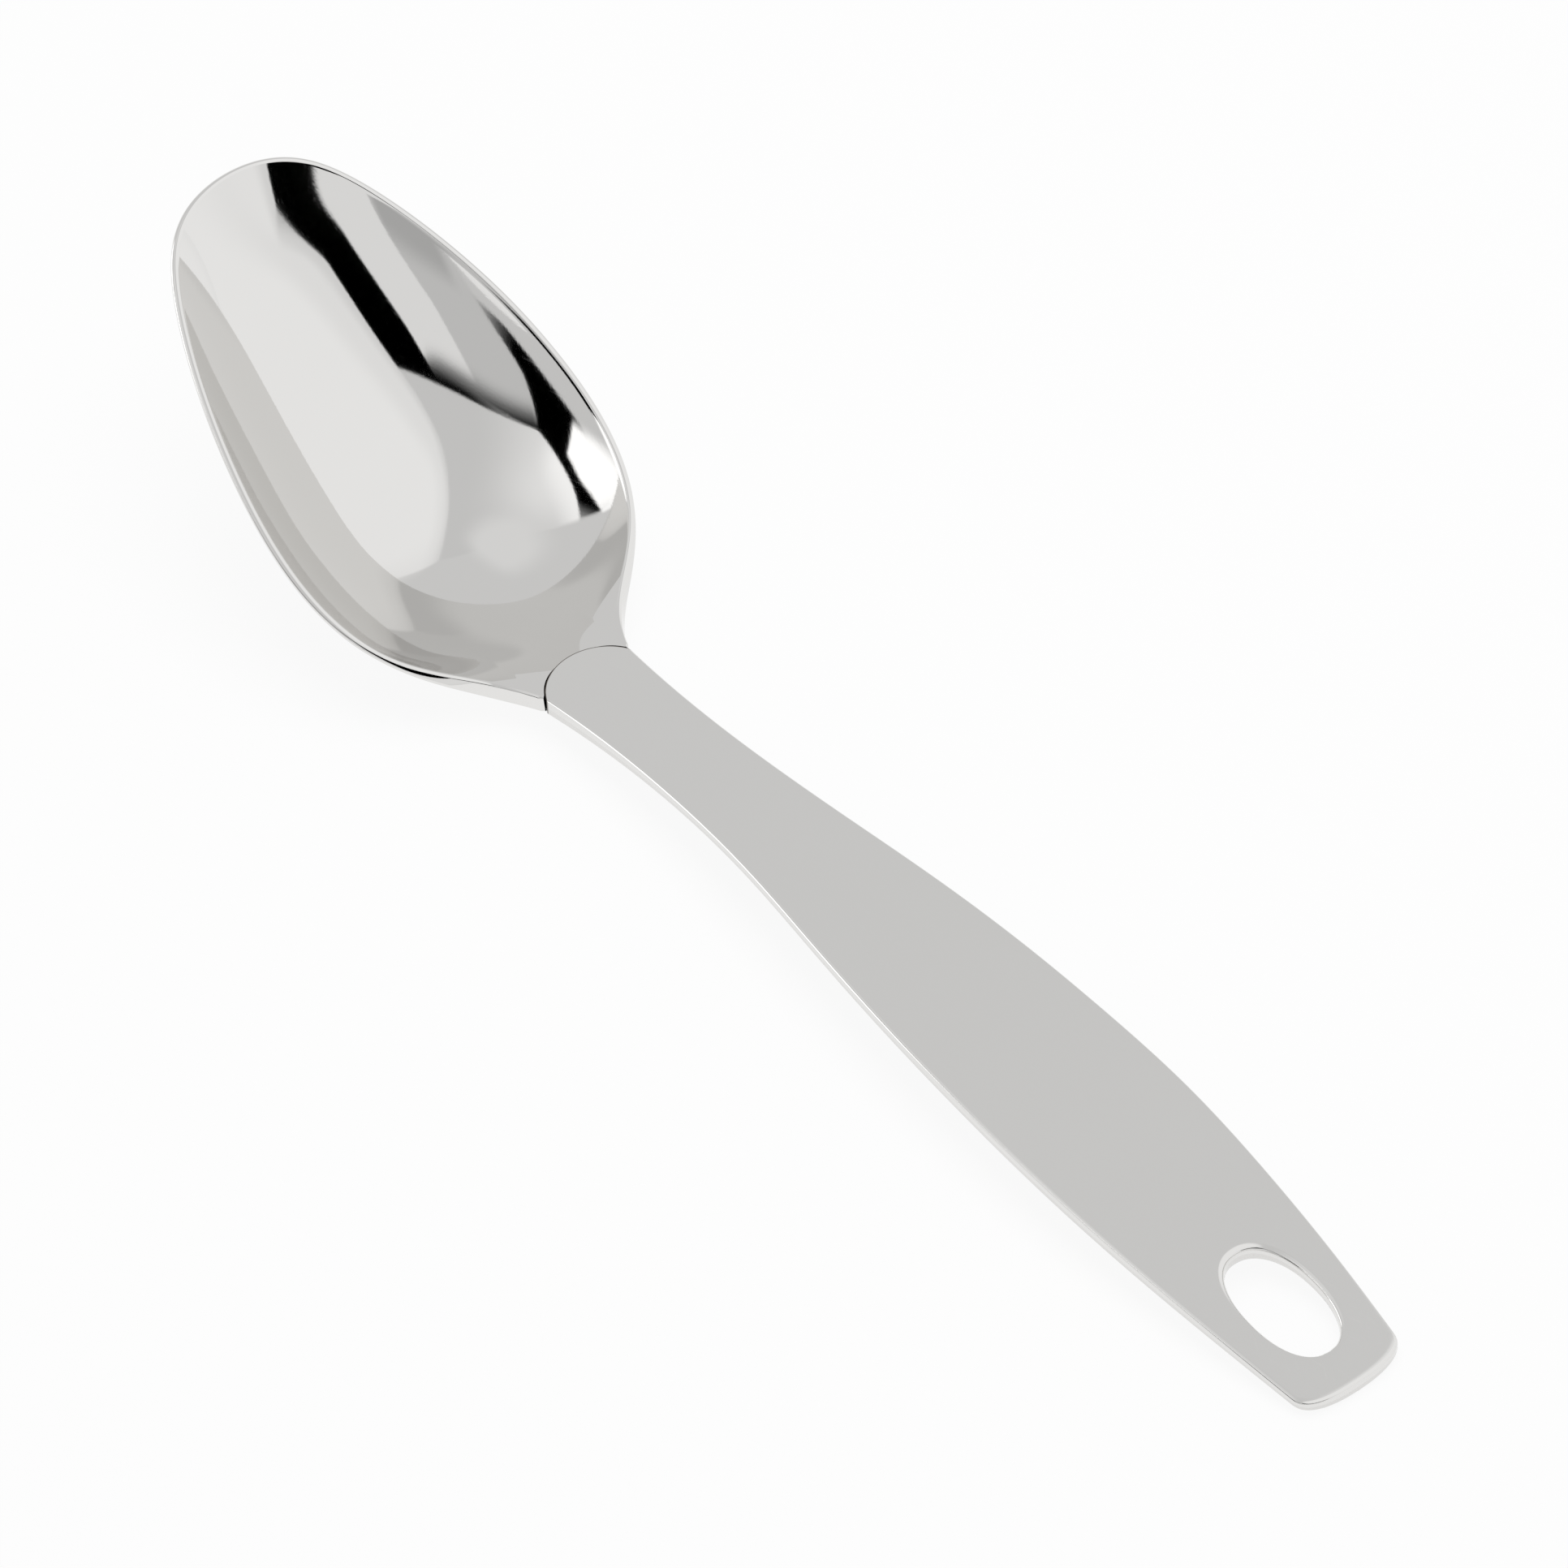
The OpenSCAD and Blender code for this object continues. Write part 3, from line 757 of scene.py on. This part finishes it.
def pressed_shell(name, tree, blank, side, values):
    """One shell: the blank run through the pressing tree and made a plain mesh."""
    plan, fall, seam, faces = blank
    if side < 0:
        faces = [face[::-1] for face in faces]
    points = np.concatenate([plan, np.zeros((len(plan), 1))], 1)
    piece = new_piece(name, points, faces)
    mark(piece.data, "fall", "POINT", fall)
    mark(piece.data, "on_seam", "POINT", seam)
    press = piece.modifiers.new("Press", "NODES")
    press.node_group = tree
    sockets = {item.name: item.identifier for item in tree.interface.items_tree if item.in_out == "INPUT"}
    for key, value in {**values, "Side": float(side)}.items():
        press[sockets[key]] = value
    bpy.context.view_layer.update()
    evaluated = piece.evaluated_get(bpy.context.evaluated_depsgraph_get())
    mesh = bpy.data.meshes.new_from_object(evaluated)
    piece.modifiers.clear()
    piece.data = mesh
    return piece


# Materials


# Faint mottle of the steel: its scale, its detail, and the share of light that its dark parts keep
MOTTLE_SCALE = 35.0
MOTTLE_DETAIL = 3.0
MOTTLE_SHADE = 0.985
# Polishing scratches: the turn and fineness of each set, the size of their noise along, across and up,
# its detail, and the levels of the noise at which a scratch starts and is full
SCRATCH_RUNS = ((0.35, 1.0), (-0.5, 1.3))
SCRATCH_STEP = (0.02, 0.0004, 0.0008)
SCRATCH_DETAIL = 2.0
SCRATCH_START = 0.62
SCRATCH_FULL = 0.8
BOWL_SCRATCH_DEPTH = 1.2e-6
HANDLE_SCRATCH_DEPTH = 1.5e-6
# Width of the dark line along the handle's mouth, painted shade of the joint's gap with dirt in it, and
# of its soft edge
DARK_LINE_WIDTH = 0.00004
DARK_LINE_FADE = 0.0001


def mouth_dirt_and_shade(sums, where, form):
    """1 along the handle's rounded mouth, where the joint gets painted shade and dirt, and 0 elsewhere.
    """
    x, y, _ = sums.split(where)
    ahead = sums.minus(x, cad_box[0][0] + form.handle_end - form.mouth_radius)
    square = sums.maths("MULTIPLY_ADD", ahead, ahead, sums.times(y, y))
    full = form.mouth_radius - DARK_LINE_WIDTH
    dark_line = fill_node(
        sums.tree, "ShaderNodeMapRange", Value=sums.maths("SQRT", square),
        From_Min=full - DARK_LINE_FADE, From_Max=full,
    )
    return sums.times(dark_line.outputs[0], sums.maths("GREATER_THAN", ahead, 0))


def mottled(tree, where, tint):
    """The steel's colour with its faint mottle."""
    mottle = fill_node(tree, "ShaderNodeTexNoise", Vector=where, Scale=MOTTLE_SCALE, Detail=MOTTLE_DETAIL)
    shade = fill_node(
        tree, "ShaderNodeMix", data_type="RGBA", Factor=mottle.outputs[0],
        A=(*[c * MOTTLE_SHADE for c in tint], 1), B=(*tint, 1),
    )
    return shade.outputs["Result"]


def streaks(sums, where):
    """Stretched noise in two directions, high where a scratch runs."""
    along_it, across_it, high = SCRATCH_STEP
    marks = []
    for turn, fineness in SCRATCH_RUNS:
        mapping = fill_node(
            sums.tree, "ShaderNodeMapping", vector_type="TEXTURE", Vector=where,
            Rotation=(0, 0, turn), Scale=(along_it, across_it / fineness, high),
        )
        grain = fill_node(
            sums.tree, "ShaderNodeTexNoise", Vector=mapping.outputs[0], Scale=1.0, Detail=SCRATCH_DETAIL,
        )
        marks.append(grain.outputs[0])
    return sums.maths("MAXIMUM", *marks)


def polished_steel(name, tint, roughness, scratch_depth, joint=None):
    """Mirror steel with a faint mottle and fine polishing scratches, near-black where painted shade and
    dirt fill the joint.
    """
    material = bpy.data.materials.new(name)
    material.use_nodes = True
    tree = material.node_tree
    shader = tree.nodes["Principled BSDF"]
    shader.inputs["Metallic"].default_value = 1
    where = tree.nodes.new("ShaderNodeTexCoord").outputs["Object"]
    sums = Sums(tree)

    # Painted shade with dirt: the tang's faces and the line along the handle's mouth turn near-black.
    joint_dirt_and_shade = fill_node(tree, "ShaderNodeAttribute", attribute_name="joint_dirt_and_shade").outputs["Fac"]
    if joint:
        joint_dirt_and_shade = sums.maths("MAXIMUM", joint_dirt_and_shade, mouth_dirt_and_shade(sums, where, joint))
    joint_darkened = fill_node(
        tree, "ShaderNodeMix", data_type="RGBA", Factor=joint_dirt_and_shade, A=mottled(tree, where, tint),
        B=(*bpy.context.scene.spoon_finish.joint_dirt_and_shade_colour, 1),
    )
    tree.links.new(joint_darkened.outputs["Result"], shader.inputs["Base Color"])

    streak = streaks(sums, where)
    scratch = fill_node(
        tree, "ShaderNodeMapRange", Value=streak, From_Min=SCRATCH_START, From_Max=SCRATCH_FULL,
    )
    rough = sums.maths("MULTIPLY_ADD", scratch.outputs[0], roughness, roughness)
    tree.links.new(rough, shader.inputs["Roughness"])
    bump = fill_node(tree, "ShaderNodeBump", Distance=scratch_depth, Height=streak)
    tree.links.new(bump.outputs[0], shader.inputs["Normal"])
    return material


# Studio


# Table: half its width, its colour, and how much of it is plain white to the camera and to mirrors
TABLE_HALF = 6
TABLE_COLOUR = (0.9, 0.9, 0.9, 1)
TABLE_GLOW = 0.9
# Brightness of the soft light on matte surfaces, and the lamp above the spoon, in metres and watts
SOFT_LIGHT = 0.55
SOFTBOX_SIZE = (1.4, 1.0)
SOFTBOX_POWER = 9
SOFTBOX_PLACE = (0.1, -0.25, 1.3)
SOFTBOX_TURN = (-0.19, 0.08, 0)
# Width of the camera's frame in millimetres
FILM_WIDTH = 36


def table_material():
    """Pale table: diffuse, with the white of the background added for the camera and for mirrors."""
    material = bpy.data.materials.new("pale table")
    material.use_nodes = True
    tree = material.node_tree
    tree.nodes.clear()
    out = tree.nodes.new("ShaderNodeOutputMaterial")
    matte = fill_node(tree, "ShaderNodeBsdfDiffuse", Color=TABLE_COLOUR)
    glow = fill_node(tree, "ShaderNodeEmission", Color=(1, 1, 1, 1))
    rays = tree.nodes.new("ShaderNodeLightPath").outputs
    sums = Sums(tree)
    seen = sums.plus(rays["Is Camera Ray"], rays["Is Glossy Ray"])
    seen = sums.plus(seen, rays["Is Transmission Ray"])
    mixed = tree.nodes.new("ShaderNodeMixShader")
    parts = (sums.times(seen, TABLE_GLOW), matte.outputs[0], glow.outputs[0])
    for part, socket in zip(parts, mixed.inputs):
        tree.links.new(part, socket)
    tree.links.new(mixed.outputs[0], out.inputs[0])
    return material


def direction(azimuth, elevation):
    """Vector of length 1 toward a place round the spoon."""
    flat = math.cos(elevation)
    return Vector((flat * math.cos(azimuth), flat * math.sin(azimuth), math.sin(elevation)))


def seen_at(facing, right, up):
    """Direction of a point on an upright screen that faces the spoon, one unit away."""
    azimuth, elevation = map(math.radians, facing)
    forward = direction(azimuth, elevation)
    level = Vector((-math.sin(azimuth), math.cos(azimuth), 0))
    return (forward + level * right + forward.cross(level) * up).normalized()


def patch_mask(sums, toward, facing, corners):
    """How far a direction lies inside a patch, whose corners go round it with their softness."""
    points = [seen_at(facing, right, up) for right, up, _ in corners]
    middle = sum(points, Vector())
    mask = 1.0
    for i, (_, _, softness) in enumerate(corners):
        inward = points[i].cross(points[(i + 1) % len(points)]).normalized()
        if inward.dot(middle) < 0:
            inward = -inward
        depth = sums.node("ShaderNodeVectorMath", "DOT_PRODUCT", (toward, inward)).outputs["Value"]
        edge = fill_node(
            sums.tree, "ShaderNodeMapRange", interpolation_type="SMOOTHSTEP",
            Value=depth, From_Min=-softness, From_Max=softness,
        )
        mask = sums.times(edge.outputs[0], mask)
    return mask


# Screens round the spoon, as azimuth and elevation in degrees, on which the patches of light lie
FRONT = (120, 15)
BACK = (330, 35)
SIDE = (215, 30)
CORNER = (40, 11)
# Edge of the ceiling above the lamp, where its glows start too
CEILING_EDGE = ((-0.83, 0.27, 0.01), (-1.22, 0.57, 0.01), (-2.13, 1.19, 0.02))
# Patches of light and dark that the steel mirrors, painted in turn: what each stands for, its screen,
# its brightness, and its corners, across and up, each with the softness of the edge that starts there
PATCHES = (
    ("dark post", FRONT, 0, (
        (-0.33, -0.235, 0.008), (-0.41, -0.235, 0.008), (-0.49, -0.2, 0.008), (-0.61, -0.13, 0.01),
        (-2.25, 0.8, 0.012), (-2.35, 1, 0.02), (-2.1, 1.2, 0.1), (-0.3, 0.5, 0.1), (-0.3, -0.15, 0.1),
    )),
    ("bright lamp behind the post", FRONT, 1.35, (
        (-0.79, 0, 0.01), (-0.88, 0.24, 0.01), (-1.21, 0.465, 0.012), (-2.21, 0.96, 0.012),
        (-3.2, 1.4, 0.2), (-3.2, 0.8, 0.05), (-1.5, 0.22, 0.04), (-1, 0.05, 0.03),
    )),
    ("low wall to the front", FRONT, 0.62, (
        (-0.33, -0.235, 0.006), (-0.45, -0.11, 0.008), (-0.5, -0.02, 0.01), (-0.58, 0.15, 0.01),
        (-0.5, 0.5, 0.1), (0.5, 0.5, 0.1), (0.5, -0.7, 0.1), (0.2, -0.7, 0.02),
    )),
    ("shadow at the foot of the wall", FRONT, 0.47, (
        (-0.25, -0.215, 0.03), (0.03, -0.115, 0.03), (0.2, -0.3, 0.03), (-0.2, -0.4, 0.03),
    )),
    ("light panel", FRONT, 0.86, (
        (0.07, -0.135, 0.008), (-0.03, -0.1, 0.008), (-0.09, -0.07, 0.01), (-0.14, -0.01, 0.012),
        (-0.19, 0.09, 0.03), (-0.1, 0.3, 0.1), (1, 0.3, 0.1), (1, -0.3, 0.1), (0.5, -0.3, 0.01),
    )),
    ("shade over the shelf", FRONT, 0.34, (
        (-0.5, 0.01, 0.07), (-0.3, 0.04, 0.07), (-0.1, 0.075, 0.06), (0.03, 0.125, 0.04),
        (0.1, 0.2, 0.02), (0.3, 0.6, 0.1), (-0.77, 0.6, 0.01),
    )),
    ("dark shelf", FRONT, 0, (
        (-0.68, 0.03, 0.085), (-0.3, 0.08, 0.085), (-0.1, 0.115, 0.075), (0.05, 0.17, 0.04),
        (0.12, 0.21, 0.02), (0.3, 0.6, 0.1), (-0.75, 0.6, 0.03),
    )),
    ("dark door", FRONT, 0, (
        (0.085, 0.2, 0.012), (0.15, 0.13, 0.012), (0.24, 0.09, 0.012), (0.36, 0.06, 0.012),
        (0.48, 0.04, 0.012), (0.66, 0.04, 0.012), (2.8, 0.08, 0.05), (2.8, 0.9, 0.1), (0.3, 0.9, 0.1),
        (0.03, 0.3, 0.012),
    )),
    ("ceiling", FRONT, 0.68, (
        (0.37, 0.39, 0.01), (0.1, 0.28, 0.01), (-0.13, 0.2, 0.01), (-0.32, 0.16, 0.01),
        (-0.57, 0.14, 0.01), *CEILING_EDGE, (-3, 3, 0.3), (2, 3, 0.3), (2, 1.2, 0.012),
    )),
    ("glow across the ceiling", FRONT, 0.96, (
        (-0.5, 0.14, 0.01), (-0.57, 0.14, 0.01), *CEILING_EDGE, (-2.6, 1.6, 0.35), (-0.5, 1.1, 0.35),
    )),
    ("glow beside the lamp", FRONT, 1.13, (
        (-0.72, 0.21, 0.01), *CEILING_EDGE, (-2, 1.35, 0.1), (-0.72, 0.38, 0.1),
    )),
    ("large window", SIDE, 0.79, (
        (-0.58, -0.29, 0.01), (-0.82, -0.14, 0.01), (-1.08, 0.02, 0.01), (-1.23, 0.19, 0.01),
        (-1.35, 0.36, 0.012), (-1.56, 0.71, 0.02), (-1.66, 0.93, 0.02), (-1.61, 1.15, 0.02),
        (-1.39, 1.3, 0.02), (-0.76, 1.35, 0.02), (0.7, 1.46, 0.02), (2.6, 1.4, 0.2),
        (3.5, -1.5, 0.2), (0.7, -0.85, 0.05), (-0.51, -0.33, 0.01),
    )),
    ("sill of the window", SIDE, 0.81, (
        (-0.56, -0.3, 0.01), (1.2, 0, 0.1), (1.2, -1.5, 0.1), (-0.65, -1.5, 0.01), (-0.61, -0.42, 0.01),
    )),
    ("foot of the window", SIDE, 0.95, (
        (-0.47, -0.27, 0.05), (-0.3, -0.15, 0.05), (1.2, 0.2, 0.1), (1.2, -1.5, 0.1), (-0.52, -1.5, 0.05),
    )),
    ("bright part of the window", SIDE, 0.91, (
        (-0.35, -0.35, 0.03), (-0.85, -0.05, 0.05), (-1.3, 0.45, 0.06), (-1.53, 0.85, 0.05),
        (-1.45, 1.15, 0.03), (-0.7, 1.3, 0.05), (0.7, 1.4, 0.1), (2.2, 1, 0.2), (2, -1.2, 0.2),
        (0.6, -0.8, 0.05),
    )),
    ("brightest part of the window", SIDE, 0.99, (
        (-0.3, -0.3, 0.1), (-0.7, 0.15, 0.15), (-1, 0.7, 0.15), (-0.9, 1.15, 0.1), (-0.3, 1.2, 0.1),
        (0.6, 1.25, 0.2), (1.6, 0.4, 0.2), (1.6, -1.2, 0.1), (0.5, -0.8, 0.1),
    )),
    ("plain wall behind", BACK, 0.72, (
        (1.9, 0.6, 0.02), (1.01, 0.99, 0.02), (0.37, 0.99, 0.02), (-0.28, 0.75, 0.015),
        (-0.63, 0.32, 0.015), (-0.9, -0.14, 0.1), (-1.3, -0.9, 0.2), (0, -1.5, 0.2), (4.9, -1.2, 0.2),
        (4.9, -0.7, 0.02),
    )),
    ("lamp that lights the handle's edge", CORNER, 2, (
        (-0.3, -0.16, 0.04), (0.3, -0.16, 0.05), (0.24, 0.15, 0.05), (-0.3, 0.17, 0.06),
    )),
    ("glow above the wall", BACK, 0.82, (
        (0.32, 0.4, 0.13), (0.8, 0.5, 0.15), (1.6, 1.4, 0.15), (1.3, 2, 0.15), (0.4, 1.7, 0.15),
        (0.1, 1.1, 0.13), (0.18, 0.7, 0.13),
    )),
)


def surroundings(tree, base):
    """Brightness of the room in a mirror, as a socket."""
    sums = Sums(tree)
    toward = tree.nodes.new("ShaderNodeTexCoord").outputs["Generated"]
    level = base
    for _, facing, brightness, corners in PATCHES:
        mask = patch_mask(sums, toward, facing, corners)
        change = sums.minus(brightness, level)
        level = sums.maths("MULTIPLY_ADD", change, mask, level)
    return level


def add_table():
    """Pale table under the spoon."""
    corners = ((-1, -1), (1, -1), (1, 1), (-1, 1))
    table = new_piece("table", [(TABLE_HALF * x, TABLE_HALF * y, 0) for x, y in corners], [[0, 1, 2, 3]])
    table.data.materials.append(table_material())


def add_world(scene, room):
    """White to the camera, soft light on matte surfaces, and the room in mirrors."""
    world = bpy.data.worlds.new("soft light")
    world.use_nodes = True
    scene.world = world
    tree = world.node_tree
    back = tree.nodes["Background"]
    rays = tree.nodes.new("ShaderNodeLightPath").outputs
    sums = Sums(tree)
    mirrored = sums.times(rays["Is Glossy Ray"], surroundings(tree, room))
    plain = sums.times(rays["Is Diffuse Ray"], SOFT_LIGHT)
    light = sums.plus(sums.plus(mirrored, plain), rays["Is Camera Ray"])
    tree.links.new(light, back.inputs["Strength"])
    back.inputs["Color"].default_value = (1, 1, 1, 1)


def add_softbox(scene):
    """Wide lamp above the spoon, which mirrors don't show."""
    data = bpy.data.lights.new("overhead softbox", "AREA")
    data.shape = "RECTANGLE"
    data.size, data.size_y = SOFTBOX_SIZE
    data.energy = SOFTBOX_POWER
    lamp = bpy.data.objects.new("overhead softbox", data)
    lamp.location = SOFTBOX_PLACE
    lamp.rotation_euler = SOFTBOX_TURN
    lamp.visible_glossy = False
    scene.collection.objects.link(lamp)


def add_camera(scene, studio):
    """Camera at the viewing angle of the photograph."""
    data = bpy.data.cameras.new("camera")
    data.sensor_width = FILM_WIDTH
    data.lens = studio.lens
    data.shift_x, data.shift_y = studio.shift
    camera = bpy.data.objects.new("camera", data)
    toward = direction(studio.azimuth, studio.elevation)
    right = (-toward).cross(Vector((0, 0, 1))).normalized()
    up = right.cross(-toward)
    turned = right * math.cos(studio.roll) + up * math.sin(studio.roll)
    upright = up * math.cos(studio.roll) - right * math.sin(studio.roll)
    camera.matrix_world = Matrix((turned, upright, toward)).transposed().to_4x4()
    camera.location = Vector((0, 0, studio.target_height)) + toward * studio.distance
    scene.collection.objects.link(camera)
    scene.camera = camera


# Steps of the add-on


class SPOON_OT_bowl(bpy.types.Operator):
    """Builds the bowl with its neck and the tang inside the handle"""

    bl_idname = "spoon.bowl"
    bl_label = "Build the bowl"

    def execute(self, context):
        scene = context.scene
        handle = HandleForm(scene.spoon_handle, scene.spoon_bowl)
        form = BowlForm(handle, scene.spoon_handle, scene.spoon_bowl)
        points, faces, on_tang = bowl_mesh(form)
        scene["spoon_low"] = float(points[:, 2].min())
        place = (cad_box[0][0], 0, -scene["spoon_low"])
        piece = new_piece("bowl_polished", points + place, faces)
        # The tang's faces, seen only through the joint, are marked to be painted near-black: painted
        # shade in the gap, with dirt in the joint.
        mark(piece.data, "joint_dirt_and_shade", "FACE", on_tang)
        smooth(piece.data)
        finish = scene.spoon_finish
        piece.data.materials.append(polished_steel(
            "bowl steel", finish.bowl_colour, finish.bowl_roughness, BOWL_SCRATCH_DEPTH,
        ))
        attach(piece, "root")
        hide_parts("bowl")
        return {"FINISHED"}


class SPOON_OT_handle(bpy.types.Operator):
    """Builds the two pressed shells of the hollow handle"""

    bl_idname = "spoon.handle"
    bl_label = "Build the handle"

    def execute(self, context):
        scene = context.scene
        sizes, finish = scene.spoon_handle, scene.spoon_finish
        form = HandleForm(sizes, scene.spoon_bowl)
        tree = press_tree()
        blank = handle_blank(form, scene.spoon_bowl)
        values = {
            "Length": sizes.handle_length, "Half width": sizes.handle_width / 2,
            "Arch": sizes.arch_height, "Edge": sizes.edge_thickness, "Crown": sizes.crown_bulge,
            "Belly": sizes.belly_bulge, "Place": (cad_box[0][0], 0.0, -scene["spoon_low"]),
        }
        for name, node, slot, side, tint, roughness in (
            ("handle_top_polished", "handle_upper_shell", "handle_steel", 1,
             finish.handle_colour, finish.handle_roughness),
            # The underside shell takes the darker steel, with painted shade.
            ("handle_underside_polished", "handle_lower_shell", "underside_steel", -1,
             finish.underside_colour_with_painted_shade, finish.underside_roughness),
        ):
            steel = polished_steel(
                slot.replace("_", " "), tint, roughness, HANDLE_SCRATCH_DEPTH, form,
            )
            piece = pressed_shell(name, tree, blank, side, {**values, "Steel": steel})
            smooth(piece.data)
            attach(piece, "root")
            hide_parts(node)
        return {"FINISHED"}


class SPOON_OT_studio(bpy.types.Operator):
    """Sets up the pale table, the soft light, the room that the steel mirrors and the camera"""

    bl_idname = "spoon.studio"
    bl_label = "Set up the studio"

    def execute(self, context):
        scene = context.scene
        scene.view_settings.view_transform = "Standard"
        add_table()
        add_world(scene, scene.spoon_studio.room)
        add_softbox(scene)
        add_camera(scene, scene.spoon_studio)
        return {"FINISHED"}


class SPOON_PT_sidebar(bpy.types.Panel):
    """Lists the spoon's sizes and its building steps"""

    bl_idname = "SPOON_PT_sidebar"
    bl_label = "Serving spoon"
    bl_space_type = "VIEW_3D"
    bl_region_type = "UI"
    bl_category = "Spoon"

    def draw(self, context):
        layout = self.layout
        for operator in OPERATORS:
            layout.operator(operator.bl_idname)
        for label, group in GROUPS.items():
            box = layout.box()
            box.label(text=label)
            settings = getattr(context.scene, group[0])
            for key in group[1].__annotations__:
                box.prop(settings, key)


GROUPS = {
    "Handle": ("spoon_handle", SpoonHandleSizes),
    "Bowl": ("spoon_bowl", SpoonBowlSizes),
    "Finish": ("spoon_finish", SpoonFinish),
    "Studio": ("spoon_studio", SpoonStudio),
}
OPERATORS = (SPOON_OT_bowl, SPOON_OT_handle, SPOON_OT_studio)


def register():
    for name, group in GROUPS.values():
        bpy.utils.register_class(group)
        setattr(bpy.types.Scene, name, bpy.props.PointerProperty(type=group))
    for operator in OPERATORS:
        bpy.utils.register_class(operator)
    bpy.utils.register_class(SPOON_PT_sidebar)


def unregister():
    bpy.utils.unregister_class(SPOON_PT_sidebar)
    for operator in reversed(OPERATORS):
        bpy.utils.unregister_class(operator)
    for name, group in GROUPS.values():
        delattr(bpy.types.Scene, name)
        bpy.utils.unregister_class(group)


def main():
    """Builds the spoon and its studio."""
    register()
    bpy.ops.spoon.bowl()
    bpy.ops.spoon.handle()
    bpy.ops.spoon.studio()


if __name__ == "__main__":
    main()
